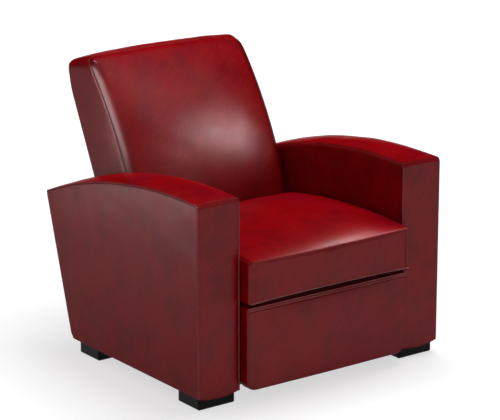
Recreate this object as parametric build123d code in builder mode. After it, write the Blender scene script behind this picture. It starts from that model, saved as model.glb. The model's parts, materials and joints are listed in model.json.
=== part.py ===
from build123d import *
from math import atan2, cos, degrees, hypot, radians, sin, tan
import os

# A leather cinema recliner with a powered back and a powered footrest, in millimetres.
# +Z is up, the floor is Z = 0, X runs across the seat and the sitter looks along -Y.
# "Left" and "right" are the sitter's, so the left arm is at +X.
# Side outlines are drawn as (depth, height), with depth measured back from the arms' front faces.

# ------------------------------------------------------------------ driving dimensions
arm_front = -440.0  # Y of the arms' front faces, which puts the origin under the middle of the chair
opening_width = 616.0  # clear width between the arms
hide = 6.0  # leather with the wadding bonded behind it
soft_gap = 0.3  # between a cover and the foam or timber inside it
cut_past = 60.0  # how far a cut runs past the piece it shapes
run_gap = 0.06  # radial, between a pin and the hole that turns on it
weld_gap = 0.05  # radial, between a pin and the hole it is fixed in

# arms
arm_width = 145.0
arm_base = 37.0  # underside of the arms above the floor
arm_front_height = 627.0  # top seam at the front
arm_top_middle = (430.0, 600.0)  # a point on the arched top seam
arm_rear_top = (820.0, 488.0)
arm_rear_foot = 688.0  # depth of the raked rear edge at its foot
arm_rear_round = 22.0
arm_crown = 12.0  # rise of the top band between its seams
arm_side_foam = 6.0
arm_foam = 26.0  # over the top, front and rear of the timber frame
frame_rail = 40.0  # width of the timber round the arm frame
frame_board = 30.0  # thickness of the boards on its inner side
frame_panel = 6.0  # plywood on the outer side of the arm frame
frame_mid_rail = (150.0, 222.0)  # heights of the rail that carries the track
frame_post = (535.0, 612.0)  # depths of the post that carries the wall-saver stud

# feet
foot_size = (131.0, 108.0)
foot_depths = (65.0, 601.0)
foot_round = 6.0
foot_edge = 3.0
foot_screw_pitch = 60.0

# screws and bolts
bolt_radius = 4.0
bolt_head_radius = 7.0
bolt_head = 4.0
bolt_reach = 22.0  # length inside the timber

# seat cushion
cushion_gap = 6.0  # to each arm
cushion_front = -49.0
cushion_rear = 544.0
cushion_base = 311.0
cushion_front_height = 439.0
cushion_side_middle = (204.0, 446.0)
cushion_rear_height = 415.0
cushion_crown = 26.0
cushion_front_bow = 10.0
cushion_edge_bulge = 1.0
cushion_face_bulge = 5.0

# back
back_side_gap = 16.0  # to each arm
back_base = 402.0
back_front_foot = 557.0
back_front_middle = (656.0, 645.0)
back_front_top = (829.0, 891.0)
back_rear_top = (963.0, 855.0)
back_knee = (799.0, 513.0)  # where the rear face turns from its lower to its upper rake
back_lower_rake = 18.0
back_face_crown = 30.0
back_top_crown = 4.0
back_front_round = 22.0
back_rear_round = 40.0
back_corner_round = 36.0
back_corner_rise = 4.0
outer_panel = 8.0
outer_panel_half = 280.0
outer_panel_span = (255.0, 801.0)  # heights
back_foam_gap = 8.0  # between the foam and the stiles, for the springs

# footrest panel
footrest_gap = 6.0  # to each arm
footrest_front = -33.0
footrest_back = 22.0  # depth of the board's rear face
footrest_base = 38.0
footrest_top = 300.0
footrest_board = 15.0
footrest_crown = 10.0
footrest_edge_bulge = 1.0
footrest_low_round = 36.0
footrest_high_round = 10.0
board_inset = 3.0

# seat box, which slides on the tracks
plate = 4.0
plate_face = 283.0  # outer face of the steel side plates
plate_base = 150.0
plate_front = 72.0
plate_rear = 625.0
plate_corner = 50.0
front_rail = (30.0, 56.0)  # depths
front_rail_height = 28.0
rear_rail = (505.0, 540.0)
rear_rail_height = 41.0
side_rail_width = 18.0
side_rail_height = 45.0  # down from the deck
deck = 4.0
deck_front = -40.0
spring_wire = 2.0  # radius
spring_seat = 0.1  # under and over the springs
spring_count = 5
spring_pitch = 96.0
spring_swing = 18.0
spring_waves = 9
spring_bend = 4.0  # radius of the wire's bends
spring_landing = 8.0  # length of each spring's end on its rail

# tracks and shoes
track_height = 185.0
track_half = 20.0
track_wall = 3.0
track_lip = 287.0  # |X| of the flanges' inner edges
track_span = (95.0, 562.0)
track_bolts = (290.0, 360.0)
shoe_play = 0.5
shoe_length = 60.0
shoe_depths = (210.0, 510.0)

# footrest linkage: one parallelogram on the seat box and one out to the footrest
drive_pivot = (100.0, 275.0)
footrest_pivot = (40.0, 228.0)
link_radius = 150.0  # drive pivot to the crossing of the front and outer links
link_angle = -58.6  # of the front link at rest, from the rearward direction
link_tail = 50.0  # front link beyond the crossing
link_heel = 68.0  # outer link behind the crossing
link_thick = 5.0
link_half = 11.0
link_boss = 17.0  # half width of the front link round the drive tube
link_pin = 6.0
link_layer_one = 276.0  # |X| of the outer faces of the front and rear links
link_layer_two = 268.0  # |X| of the outer faces of the outer and inner links
pin_stand = 1.5
tube_radius = 11.0
tube_wall = 2.5
tube_end = 0.2
bracket_flange = (35.0, 4.0)
bracket_span = (160.0, 245.0)

# footrest gearmotor
gearbox_half = 32.0
gearbox_height = 54.0
gearbox_rear = 128.0
gearbox_edge = 4.0
gearmotor_radius = 22.0
gearmotor_rear = 240.0
gearmotor_height = 266.0

# recliner
recline_angle = 28.0
hinge = (600.0, 235.0)
hinge_pin = 8.0
hinge_head = (13.0, 5.0)
hinge_lobe = 24.0
bracket_face = 278.0  # |X| of the outer faces of the back brackets
bracket_top = 560.0
bracket_front = 549.0
bracket_shoulder = (360.0, 401.0)
stud_rise = 150.0  # wall-saver stud above the hinge
stud_radius = 6.0
slot_play = 0.5
stud_plate_depths = (549.0, 599.0)
stud_plate_heights = (360.0, 410.0)
stud_bolt_inset = 11.0  # from the plate's ends
mount_plate = 4.0
crank_radius = 110.0
crank_pin = 5.0
crank_plate = 5.0
crank_inside = 10.0
crank_lobe = 15.0
crank_end_play = 0.8
rod_radius = 8.0
rod_length = 160.0
rod_eye = 13.0
rod_eye_play = 0.5
motor_pivot = (290.0, 170.0)
motor_axle = 12.0
motor_lug = 20.0
motor_lug_half = 18.0
motor_box = (14.0, 64.0)  # along the rod
motor_box_half = 24.0
motor_box_drop = 61.0
motor_tube = 15.0
motor_tube_end = 228.0
motor_bore = 100.0  # where the rod's bore starts
motor_can = 21.0
motor_can_end = 190.0
motor_can_drop = 40.0

# back frame
stile_width = 24.0
stile_depth = 60.0
panel_reveal = 1.0  # of the outer panel past the top rail
back_rail = 30.0
back_spring_count = 4
back_spring_pitch = 110.0

# lower frame
cross_rail = (25.0, 20.0)
cross_rail_base = 38.0
cross_rail_depths = (50.0, 532.5)
corner_plate = (60.0, 66.0)
corner_bolt_pitch = 36.0
corner_bolt_height = 85.0
skirt = 15.0
skirt_span = (60.0, 240.0)
skirt_inset = 12.0
supply_size = (130.0, 80.0, 45.0)
supply_x = 185.0
inlet_size = (22.0, 10.0, 12.0)
control_size = (120.0, 70.0, 34.0)
control_x = -190.0
case_edge = 4.0

# switch on the inner side of the right arm
switch_at = (150.0, 520.0)
switch_size = (96.0, 34.0)
switch_round = 6.0
switch_proud = 4.0
switch_margin = 4.0  # of the plate round the body
switch_depth = 22.0
switch_play = 0.5
button_size = (17.0, 20.0)
button_gap = 0.4
button_pitch = 21.0
button_proud = 3.0
button_length = 12.0
button_travel = 1.5

# ------------------------------------------------------------------ worked out from them
arm_inner = opening_width / 2
arm_outer = arm_inner + arm_width
arm_middle = arm_inner + arm_width / 2
arm_rake = (arm_rear_top[0] - arm_rear_foot) / (arm_rear_top[1] - arm_base)
frame_inner = arm_inner + hide + soft_gap
frame_outer = arm_outer - hide - soft_gap - arm_side_foam
cushion_half = arm_inner - cushion_gap
footrest_half = arm_inner - footrest_gap
back_half = arm_inner - back_side_gap
plate_inner = plate_face - plate
deck_base = cushion_base - deck
box_top = deck_base - 2 * (spring_wire + spring_seat)  # top of the rails that carry the springs
back_rake = degrees(atan2(back_rear_top[0] - back_knee[0], back_rear_top[1] - back_knee[1]))
bracket_inner = bracket_face - plate
stile_inner = bracket_inner - stile_width
stile_top = outer_panel_span[1] - panel_reveal
loft_shares = (-1.0, -0.5, 0.0, 0.5, 1.0)  # stations across a cushion, as shares of its half width

# footrest linkage
link_way = Vector(cos(radians(link_angle)), sin(radians(link_angle)))
drive_at = Vector(*drive_pivot)
footrest_at = Vector(*footrest_pivot)
crossing = drive_at + link_way * link_radius
tail_at = crossing + link_way * link_tail
lower_footrest_at = footrest_at + link_way * link_tail
outer_way = (crossing - footrest_at).normalized()
heel_at = crossing + outer_way * link_heel
rear_link_at = drive_at + outer_way * link_heel

# recliner
half_angle = radians(recline_angle / 2)
hinge_at = Vector(*hinge)
stud_at = hinge_at + Vector(-stud_rise * tan(half_angle), stud_rise)
crank_at = hinge_at + Vector(sin(half_angle), -cos(half_angle)) * crank_radius
crank_slot = crank_radius * (1 - cos(half_angle))  # the rod's straight path under the crank's arc
stud_slot = stud_rise / cos(half_angle) - stud_rise
motor_at = Vector(*motor_pivot)
motor_line = crank_at - motor_at
motor_reach = motor_line.length
motor_plane = Plane(
    origin=(0, arm_front + motor_at.X, motor_at.Y),
    x_dir=(1, 0, 0),
    z_dir=(0, motor_line.X, motor_line.Y),
)

# bolts into the arms and screws into the feet
corner_bolts = [
    (depth + shift, corner_bolt_height)
    for depth in cross_rail_depths
    for shift in (-corner_bolt_pitch / 2, corner_bolt_pitch / 2)
]
stud_bolts = [
    (stud_plate_depths[1] - bolt_head_radius - 2 * bolt_radius, height)
    for height in (stud_plate_heights[0] + stud_bolt_inset, stud_plate_heights[1] - stud_bolt_inset)
]
rail_bolts = [(depth, track_height) for depth in track_bolts]
arm_bolts = corner_bolts + stud_bolts + rail_bolts
foot_screws_at = [
    (arm_middle + shift, arm_front + depth)
    for depth in foot_depths
    for shift in (-foot_screw_pitch / 2, foot_screw_pitch / 2)
]
pieces = {}


def rear_line(height, setback=0.0):
    """Depth of the back's rear face at a height, less a setback."""
    rake = back_rake if height > back_knee[1] else back_lower_rake
    return back_knee[0] + (height - back_knee[1]) * tan(radians(rake)) - setback


def rear_band(base, top, near, far):
    """Corners of a band that follows the back's rear face between two setbacks."""
    heights = [base] + [back_knee[1]] * (base < back_knee[1] < top) + [top]
    return [(rear_line(h, near), h) for h in heights] + [(rear_line(h, far), h) for h in reversed(heights)]


def side(x):
    """Plane of a side outline at X, whose first axis is the depth."""
    return Plane(origin=(x, arm_front, 0), x_dir=(0, 1, 0), z_dir=(1, 0, 0))


def mirrored(piece):
    """The right-hand twin of a left-hand piece."""
    with BuildPart() as twin:
        mirror(piece.part, about=Plane.YZ)
    return twin


def both_sides(piece):
    """A left-hand piece and its twin as one node."""
    with BuildPart() as pair:
        add(piece.part)
        mirror(piece.part, about=Plane.YZ)
    return pair


def keep(name, piece):
    """Name a finished piece."""
    piece.part.label = name
    pieces[name] = piece


# ------------------------------------------------------------------ shapes of the upholstery
def arm_outline(crown):
    """Side of an arm, its top band raised by a crown: upright front, arched top, raked rear."""
    front_top = (0, arm_front_height + crown)
    middle_top = (arm_top_middle[0], arm_top_middle[1] + crown)
    rear_top = (arm_rear_top[0] + crown * arm_rake, arm_rear_top[1] + crown)
    with BuildSketch() as outline:
        with BuildLine():
            Polyline(front_top, (0, arm_base), (arm_rear_foot, arm_base), rear_top)
            ThreePointArc(rear_top, middle_top, front_top)
        make_face()
        fillet(outline.vertices().group_by(Axis.Y)[0].sort_by(Axis.X)[-1], arm_rear_round)
    return outline.sketch


def arm_form(inset):
    """Left arm, crowned across its width and drawn in by an inset."""
    with BuildPart() as form:
        for share in loft_shares:
            with BuildSketch(side(arm_middle + share * (arm_width / 2 - inset))):
                add(arm_outline(arm_crown * (1 - share**2)))
                if inset:
                    offset(amount=-inset, kind=Kind.INTERSECTION, mode=Mode.REPLACE)
        loft()
    return form.part


def frame_outline(inset):
    """Side of the timber frame inside an arm, which runs down to the feet."""
    with BuildSketch() as outline:
        add(arm_outline(0))
        offset(amount=-inset, kind=Kind.INTERSECTION, mode=Mode.REPLACE)
        with Locations((inset, arm_base)):
            Rectangle(
                arm_rear_foot - arm_rear_round - inset,
                2 * inset,
                align=(Align.MIN, Align.MIN),
            )
    return outline.sketch


def cushion_form(inset):
    """Seat cushion: crowned top, bowed front, flat underside and sides."""
    with BuildPart() as form:
        for share in loft_shares:
            swell = 1 - share**2
            front = cushion_front - cushion_front_bow * swell
            bulge = cushion_edge_bulge + (cushion_face_bulge - cushion_edge_bulge) * swell
            front_middle = (front - bulge, (cushion_front_height + cushion_base) / 2)
            top_middle = (cushion_side_middle[0], cushion_side_middle[1] + cushion_crown * swell)
            rear_top = (cushion_rear, cushion_rear_height)
            front_top = (front, cushion_front_height)
            with BuildSketch(side(share * (cushion_half - inset))):
                with BuildLine():
                    Polyline((front, cushion_base), (cushion_rear, cushion_base), rear_top)
                    ThreePointArc(rear_top, top_middle, front_top)
                    ThreePointArc(front_top, front_middle, (front, cushion_base))
                make_face()
                if inset:
                    offset(amount=-inset, kind=Kind.INTERSECTION, mode=Mode.REPLACE)
        loft()
    return form.part


def back_form(inset):
    """Back: crowned face, arched top with rounded corners, rear face with two rakes."""
    half = back_half - inset
    with BuildPart() as form:
        for share in loft_shares:
            swell = 1 - share**2
            front_top = (back_front_top[0], back_front_top[1] + back_top_crown * swell)
            rear_height = back_rear_top[1] + back_top_crown * swell
            rear_top = (rear_line(rear_height), rear_height)
            middle = (back_front_middle[0] - back_face_crown * swell, back_front_middle[1])
            front_foot = (back_front_foot, back_base)
            with BuildSketch(side(share * half)) as section:
                with BuildLine():
                    Polyline(front_top, rear_top, back_knee, (rear_line(back_base), back_base), front_foot)
                    ThreePointArc(front_foot, middle, front_top)
                make_face()
                fillet(section.vertices().sort_by(Axis.Y)[-1], back_front_round)
                fillet(section.vertices().sort_by(Axis.X)[-1], back_rear_round)
                if inset:
                    offset(amount=-inset, kind=Kind.INTERSECTION, mode=Mode.REPLACE)
        loft()
        shoulder = back_front_top[1] + back_corner_rise - inset
        with BuildSketch(Plane.XZ) as front_view:
            with BuildLine():
                Polyline((-half, shoulder), (-half, arm_base), (half, arm_base), (half, shoulder))
                ThreePointArc((half, shoulder), (0, shoulder + back_top_crown), (-half, shoulder))
            make_face()
            fillet(front_view.vertices().group_by(Axis.Y)[-1], back_corner_round)
        extrude(amount=back_rear_top[0], both=True, mode=Mode.INTERSECT)
    return form.part


def footrest_outline(inset):
    """Front view of the footrest, with its rounded corners."""
    height = footrest_top - footrest_base - 2 * inset
    with BuildSketch() as outline:
        with Locations((0, footrest_base + inset)):
            Rectangle(2 * (footrest_half - inset), height, align=(Align.CENTER, Align.MIN))
        fillet(outline.vertices().group_by(Axis.Y)[0], footrest_low_round - inset)
        fillet(outline.vertices().group_by(Axis.Y)[-1], footrest_high_round - inset)
    return outline.sketch


# ------------------------------------------------------------------ arms
with BuildPart() as arm_frame:
    with BuildSketch(side(frame_inner)):
        add(frame_outline(arm_foam))
    extrude(amount=frame_outer - frame_inner)
    with BuildSketch(side(frame_inner + frame_board)):
        add(arm_outline(0))
        offset(amount=-(arm_foam + frame_rail), kind=Kind.INTERSECTION, mode=Mode.REPLACE)
    extrude(amount=frame_outer - frame_inner - frame_board - frame_panel, mode=Mode.SUBTRACT)
    with BuildSketch(side(frame_inner)):
        add(arm_outline(0))
        offset(amount=-(arm_foam + frame_rail), kind=Kind.INTERSECTION, mode=Mode.REPLACE)
        with Locations((0, frame_mid_rail[0])):
            Rectangle(
                arm_rear_top[0],
                frame_mid_rail[1] - frame_mid_rail[0],
                align=(Align.MIN, Align.MIN),
                mode=Mode.SUBTRACT,
            )
        with Locations((frame_post[0], 0)):
            Rectangle(
                frame_post[1] - frame_post[0],
                arm_front_height,
                align=(Align.MIN, Align.MIN),
                mode=Mode.SUBTRACT,
            )
    extrude(amount=frame_board, mode=Mode.SUBTRACT)
    with BuildSketch(side(frame_inner)):
        with Locations(*arm_bolts):
            Circle(bolt_radius + weld_gap)
    extrude(amount=bolt_reach, mode=Mode.SUBTRACT)
    with BuildSketch(Plane.XY.offset(arm_base)):
        with Locations(*foot_screws_at):
            Circle(bolt_radius + weld_gap)
    extrude(amount=bolt_reach, mode=Mode.SUBTRACT)
keep("arm_frame_left", arm_frame)
keep("arm_frame_right", mirrored(arm_frame))

with BuildPart() as arm_padding:
    add(arm_form(hide + soft_gap))
    with BuildSketch(side(arm_inner)):
        add(frame_outline(arm_foam - soft_gap))
    extrude(amount=frame_outer + soft_gap - arm_inner, mode=Mode.SUBTRACT)
keep("arm_padding_left", arm_padding)
keep("arm_padding_right", mirrored(arm_padding))

with BuildPart() as arm_cover:
    add(arm_form(0))
    add(arm_form(hide), mode=Mode.SUBTRACT)
    with BuildSketch(Plane.XY.offset(arm_base)):
        with Locations((arm_inner + hide, arm_front + hide)):
            Rectangle(
                arm_width - 2 * hide,
                arm_rear_foot - arm_rear_round - hide,
                align=(Align.MIN, Align.MIN),
            )
    extrude(amount=2 * hide, mode=Mode.SUBTRACT)
    with BuildSketch(side(arm_inner)):
        with Locations(*arm_bolts):
            Circle(bolt_radius + weld_gap)
    extrude(amount=2 * hide, mode=Mode.SUBTRACT)
keep("arm_cover_left", arm_cover)

switch_body = (switch_size[0] - 2 * switch_margin, switch_size[1] - 2 * switch_margin)
with BuildPart() as arm_cover_right:
    add(mirrored(arm_cover).part)
    with BuildSketch(side(-arm_inner - 2 * hide)):
        with Locations(switch_at):
            Rectangle(switch_body[0] + 2 * switch_play, switch_body[1] + 2 * switch_play)
    extrude(amount=3 * hide, mode=Mode.SUBTRACT)
keep("arm_cover_right", arm_cover_right)

# ------------------------------------------------------------------ feet and their screws
for place, depth in zip(("front", "rear"), foot_depths):
    with BuildPart() as foot:
        with BuildSketch(Plane.XY):
            with Locations((arm_middle, arm_front + depth)):
                RectangleRounded(*foot_size, foot_round)
        extrude(amount=arm_base)
        chamfer(foot.edges().group_by(Axis.Z)[0], foot_edge)
        with Locations(Plane.XY):
            with Locations(*[p for p in foot_screws_at if abs(p[1] - arm_front - depth) < foot_round]):
                Cylinder(
                    bolt_radius + weld_gap,
                    arm_base,
                    align=(Align.CENTER, Align.CENTER, Align.MIN),
                    mode=Mode.SUBTRACT,
                )
                Cylinder(
                    bolt_head_radius + soft_gap,
                    2 * bolt_head,
                    align=(Align.CENTER, Align.CENTER, Align.MIN),
                    mode=Mode.SUBTRACT,
                )
    keep(f"foot_{place}_left", foot)
    keep(f"foot_{place}_right", mirrored(foot))

with BuildPart() as foot_screws:
    with BuildSketch(Plane.XY.offset(bolt_head)):
        with Locations(*foot_screws_at):
            Circle(bolt_head_radius)
    extrude(amount=bolt_head)
    with BuildSketch(Plane.XY.offset(bolt_head)):
        with Locations(*foot_screws_at):
            Circle(bolt_radius)
    extrude(amount=arm_base + bolt_reach - 2 * bolt_head)
keep("foot_screws", both_sides(foot_screws))

# ------------------------------------------------------------------ lower frame
for place, depth in zip(("front", "rear"), cross_rail_depths):
    rail_size = (2 * (arm_inner - mount_plate), *cross_rail)
    with BuildPart() as rail:
        with Locations((0, arm_front + depth, cross_rail_base)):
            Box(*rail_size, align=(Align.CENTER, Align.CENTER, Align.MIN))
            with Locations((0, 0, tube_wall)):
                Box(
                    rail_size[0],
                    cross_rail[0] - 2 * tube_wall,
                    cross_rail[1] - 2 * tube_wall,
                    align=(Align.CENTER, Align.CENTER, Align.MIN),
                    mode=Mode.SUBTRACT,
                )
    keep(f"{place}_cross_rail", rail)

with BuildPart() as corner_plates:
    with BuildSketch(side(arm_inner - mount_plate)):
        with Locations(*[(depth, cross_rail_base) for depth in cross_rail_depths]):
            Rectangle(*corner_plate, align=(Align.CENTER, Align.MIN))
        with Locations(*corner_bolts):
            Circle(bolt_radius + weld_gap, mode=Mode.SUBTRACT)
    extrude(amount=mount_plate)
keep("corner_plates", both_sides(corner_plates))

with BuildPart() as arm_bolts_left:
    for spots, face in (
        (corner_bolts + stud_bolts, arm_inner - mount_plate),
        (rail_bolts, arm_inner - track_wall),
    ):
        with BuildSketch(side(face - bolt_head)):
            with Locations(*spots):
                Circle(bolt_head_radius)
        extrude(amount=bolt_head)
        with BuildSketch(side(face - bolt_head)):
            with Locations(*spots):
                Circle(bolt_radius)
        extrude(amount=frame_inner + bolt_reach - face + bolt_head)
keep("arm_bolts", both_sides(arm_bolts_left))

with BuildPart() as rear_skirt:
    with BuildSketch(side(-arm_inner + soft_gap)):
        with BuildLine():
            foot = arm_rear_foot - skirt_inset
            outside = [(foot + (height - arm_base) * arm_rake, height) for height in skirt_span]
            inside = [(depth - skirt, height) for depth, height in reversed(outside)]
            Polyline(*outside, *inside, close=True)
        make_face()
    extrude(amount=2 * (arm_inner - soft_gap))
keep("rear_skirt", rear_skirt)

supply_y = arm_front + cross_rail_depths[1]
case_base = cross_rail_base + cross_rail[1]
with BuildPart() as power_supply:
    with Locations((supply_x, supply_y, case_base)):
        Box(*supply_size, align=(Align.CENTER, Align.CENTER, Align.MIN))
    fillet(power_supply.edges().filter_by(Axis.Z), case_edge)
    with Locations((supply_x, supply_y + supply_size[1] / 2, case_base + supply_size[2] / 2)):
        Box(*inlet_size, align=(Align.CENTER, Align.MAX, Align.CENTER), mode=Mode.SUBTRACT)
keep("power_supply", power_supply)

with BuildPart() as control_box:
    with Locations((control_x, supply_y, case_base)):
        Box(*control_size, align=(Align.CENTER, Align.CENTER, Align.MIN))
    fillet(control_box.edges().filter_by(Axis.Z), case_edge)
keep("control_box", control_box)

# ------------------------------------------------------------------ tracks and wall-saver studs
with BuildPart() as track:
    with BuildSketch(side(track_lip)):
        with Locations((track_span[0], track_height - track_half)):
            Rectangle(track_span[1] - track_span[0], 2 * track_half, align=(Align.MIN, Align.MIN))
    extrude(amount=arm_inner - track_lip)
    with BuildSketch(side(track_lip)):
        with Locations((track_span[0], track_height - track_half + track_wall)):
            Rectangle(
                track_span[1] - track_span[0],
                2 * (track_half - track_wall),
                align=(Align.MIN, Align.MIN),
            )
    extrude(amount=arm_inner - track_lip - track_wall, mode=Mode.SUBTRACT)
    with BuildSketch(side(track_lip)):
        with Locations(*rail_bolts):
            Circle(bolt_radius + weld_gap)
    extrude(amount=arm_inner - track_lip, mode=Mode.SUBTRACT)
keep("track_left", track)
keep("track_right", mirrored(track))

with BuildPart() as stud_plate:
    with BuildSketch(side(arm_inner - mount_plate)):
        with Locations((stud_plate_depths[0], stud_plate_heights[0])):
            Rectangle(
                stud_plate_depths[1] - stud_plate_depths[0],
                stud_plate_heights[1] - stud_plate_heights[0],
                align=(Align.MIN, Align.MIN),
            )
        with Locations(*stud_bolts):
            Circle(bolt_radius + weld_gap, mode=Mode.SUBTRACT)
    extrude(amount=mount_plate)
    with BuildSketch(side(bracket_inner - pin_stand)):
        with Locations((stud_at.X, stud_at.Y)):
            Circle(stud_radius)
    extrude(amount=arm_inner - mount_plate - bracket_inner + pin_stand)
keep("wall_saver_studs", both_sides(stud_plate))

# ------------------------------------------------------------------ switch
with BuildPart() as switch_housing:
    with BuildSketch(side(-arm_inner)):
        with Locations(switch_at):
            RectangleRounded(*switch_size, switch_round)
    extrude(amount=switch_proud)
    with BuildSketch(side(-arm_inner)):
        with Locations(switch_at):
            Rectangle(*switch_body)
    extrude(amount=-switch_depth)
    with BuildSketch(side(-arm_inner + switch_proud)):
        with Locations(switch_at):
            with GridLocations(button_pitch, 0, 4, 1):
                Rectangle(button_size[0] + 2 * button_gap, button_size[1] + 2 * button_gap)
    extrude(amount=-(switch_proud + switch_depth - 2 * switch_margin), mode=Mode.SUBTRACT)
keep("switch_housing", switch_housing)

button_names = ("back_down", "back_up", "footrest_out", "footrest_in")
for number, name in enumerate(button_names):
    button_depth = switch_at[0] + (number - (len(button_names) - 1) / 2) * button_pitch
    with BuildPart() as button:
        with BuildSketch(side(-arm_inner + switch_proud + button_proud)):
            with Locations((button_depth, switch_at[1])):
                Rectangle(*button_size)
        extrude(amount=-button_length)
        fillet(button.faces().sort_by(Axis.X)[-1].edges(), button_travel)
    keep(f"button_{name}", button)

# ------------------------------------------------------------------ seat box
with BuildPart() as seat_plate:
    with BuildSketch(side(plate_inner)):
        with BuildLine():
            Polyline(
                (plate_front, box_top),
                (plate_front, drive_pivot[1] - 2 * link_boss),
                (plate_front + 2 * plate_corner, plate_base),
                (hinge[0] - plate_corner, plate_base),
                (plate_rear, hinge[1] - plate_corner / 2),
                (plate_rear, hinge[1] + plate_corner / 2),
                (hinge[0] - plate_corner, box_top),
                close=True,
            )
        make_face()
        with Locations((drive_at.X, drive_at.Y)):
            Circle(tube_radius + run_gap, mode=Mode.SUBTRACT)
        with Locations((hinge_at.X, hinge_at.Y)):
            Circle(hinge_pin + weld_gap, mode=Mode.SUBTRACT)
    extrude(amount=plate)
    stud_end = link_layer_one - link_thick - pin_stand
    with BuildSketch(side(stud_end)):
        with Locations((rear_link_at.X, rear_link_at.Y)):
            Circle(link_pin)
    extrude(amount=plate_inner - stud_end)
keep("seat_plate_left", seat_plate)
keep("seat_plate_right", mirrored(seat_plate))

with BuildPart() as glide_shoes:
    with BuildSketch(side(plate_face)):
        with Locations(*[(depth, track_height) for depth in shoe_depths]):
            Rectangle(shoe_length, 2 * (track_half - track_wall - shoe_play))
    extrude(amount=arm_inner - track_wall - shoe_play - plate_face)
keep("glide_shoes", both_sides(glide_shoes))

for place, (near, far), rail_height in (
    ("front", front_rail, front_rail_height),
    ("rear", rear_rail, rear_rail_height),
):
    with BuildPart() as rail:
        with BuildSketch(side(-plate_inner)):
            with Locations((near, box_top - rail_height)):
                Rectangle(far - near, rail_height, align=(Align.MIN, Align.MIN))
        extrude(amount=2 * plate_inner)
    keep(f"seat_{place}_rail", rail)

with BuildPart() as seat_side_rail:
    with BuildSketch(side(plate_face)):
        with Locations((front_rail[0], deck_base)):
            Rectangle(cushion_rear - front_rail[0], side_rail_height, align=(Align.MIN, Align.MAX))
    extrude(amount=side_rail_width)
keep("seat_side_rails", both_sides(seat_side_rail))

with BuildPart() as seat_deck:
    with BuildSketch(Plane.XY.offset(deck_base)):
        with Locations((0, arm_front + deck_front)):
            Rectangle(
                2 * (plate_face + side_rail_width),
                cushion_rear - deck_front,
                align=(Align.CENTER, Align.MIN),
            )
    extrude(amount=deck)
keep("seat_deck", seat_deck)


def wave_path(length):
    """A zigzag wire path with rounded bends, along +Y from the origin, straight at both ends."""
    step = (length - 2 * spring_landing) / spring_waves
    bends = [
        ((-1) ** wave * spring_swing, spring_landing + (wave + 0.5) * step) for wave in range(spring_waves)
    ]
    ends = ((0, length - spring_landing), (0, length))
    return FilletPolyline((0, 0), (0, spring_landing), *bends, *ends, radius=spring_bend)


with BuildPart() as seat_spring:
    wire_plane = Plane.XY.offset(box_top + spring_seat + spring_wire)
    wire_plane.origin += Vector(0, arm_front + front_rail[1] - spring_landing, 0)
    with BuildLine(wire_plane) as wire:
        wave_path(rear_rail[0] - front_rail[1] + 2 * spring_landing)
    with BuildSketch(Plane(origin=wire.line @ 0, z_dir=wire.line % 0)):
        Circle(spring_wire)
    sweep(path=wire.line)
with BuildPart() as seat_springs:
    with GridLocations(spring_pitch, 0, spring_count, 1):
        add(seat_spring.part)
keep("seat_springs", seat_springs)

with BuildPart() as seat_foam:
    add(cushion_form(hide + soft_gap))
    extrude(to_extrude=seat_foam.faces().sort_by(Axis.Z)[0], amount=hide + soft_gap)
keep("seat_cushion_foam", seat_foam)

with BuildPart() as seat_cover:
    add(cushion_form(0))
    cavity = cushion_form(hide)
    add(cavity, mode=Mode.SUBTRACT)
    extrude(to_extrude=cavity.faces().sort_by(Axis.Z)[0], amount=hide, mode=Mode.SUBTRACT)
keep("seat_cushion_cover", seat_cover)

with BuildPart() as hinge_bolts:
    with BuildSketch(side(plate_face)):
        with Locations((hinge_at.X, hinge_at.Y)):
            Circle(hinge_head[0])
    extrude(amount=hinge_head[1])
    with BuildSketch(side(bracket_inner - pin_stand)):
        with Locations((hinge_at.X, hinge_at.Y)):
            Circle(hinge_pin)
    extrude(amount=plate_face - bracket_inner + pin_stand)
keep("back_hinge_bolts", both_sides(hinge_bolts))

with BuildPart() as motor_axle_tube:
    with BuildSketch(side(-plate_inner)):
        with Locations((motor_at.X, motor_at.Y)):
            Circle(motor_axle)
            Circle(motor_axle - tube_wall, mode=Mode.SUBTRACT)
    extrude(amount=2 * plate_inner)
keep("motor_axle_tube", motor_axle_tube)

with BuildPart() as footrest_gearmotor:
    with BuildSketch(side(-gearbox_half)):
        with Locations((front_rail[1], drive_pivot[1])):
            Rectangle(gearbox_rear - front_rail[1], gearbox_height, align=(Align.MIN, Align.CENTER))
    extrude(amount=2 * gearbox_half)
    fillet(footrest_gearmotor.edges().filter_by(Axis.X), gearbox_edge)
    with BuildSketch(Plane(origin=(0, arm_front + gearbox_rear, gearmotor_height), z_dir=(0, 1, 0))):
        Circle(gearmotor_radius)
    extrude(amount=gearmotor_rear - gearbox_rear)
    with BuildSketch(side(-gearbox_half)):
        with Locations((drive_at.X, drive_at.Y)):
            Circle(tube_radius + run_gap)
    extrude(amount=2 * gearbox_half, mode=Mode.SUBTRACT)
keep("footrest_gearmotor", footrest_gearmotor)


# ------------------------------------------------------------------ footrest linkage
def link_bar(face, spots, holes, studs, boss=link_half):
    """A flat link whose outer face is at |X| = face: round ends, holes and riveted studs."""
    with BuildPart() as bar:
        with BuildSketch(side(face - link_thick)):
            with Locations((spots[0].X, spots[0].Y)):
                Circle(boss)
            with Locations((spots[1].X, spots[1].Y)):
                Circle(link_half)
            make_hull()
            for spot, radius in holes:
                with Locations((spot.X, spot.Y)):
                    Circle(radius, mode=Mode.SUBTRACT)
        extrude(amount=link_thick)
        if studs:
            stud_tip = link_layer_two - link_thick - pin_stand
            with BuildSketch(side(stud_tip)):
                with Locations(*[(spot.X, spot.Y) for spot in studs]):
                    Circle(link_pin)
            extrude(amount=face - link_thick - stud_tip)
    return bar


pin_hole = link_pin + run_gap
front_link = link_bar(
    link_layer_one,
    (drive_at, tail_at),
    [(drive_at, tube_radius + weld_gap)],
    [crossing, tail_at],
    boss=link_boss,
)
keep("front_links", both_sides(front_link))

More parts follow.
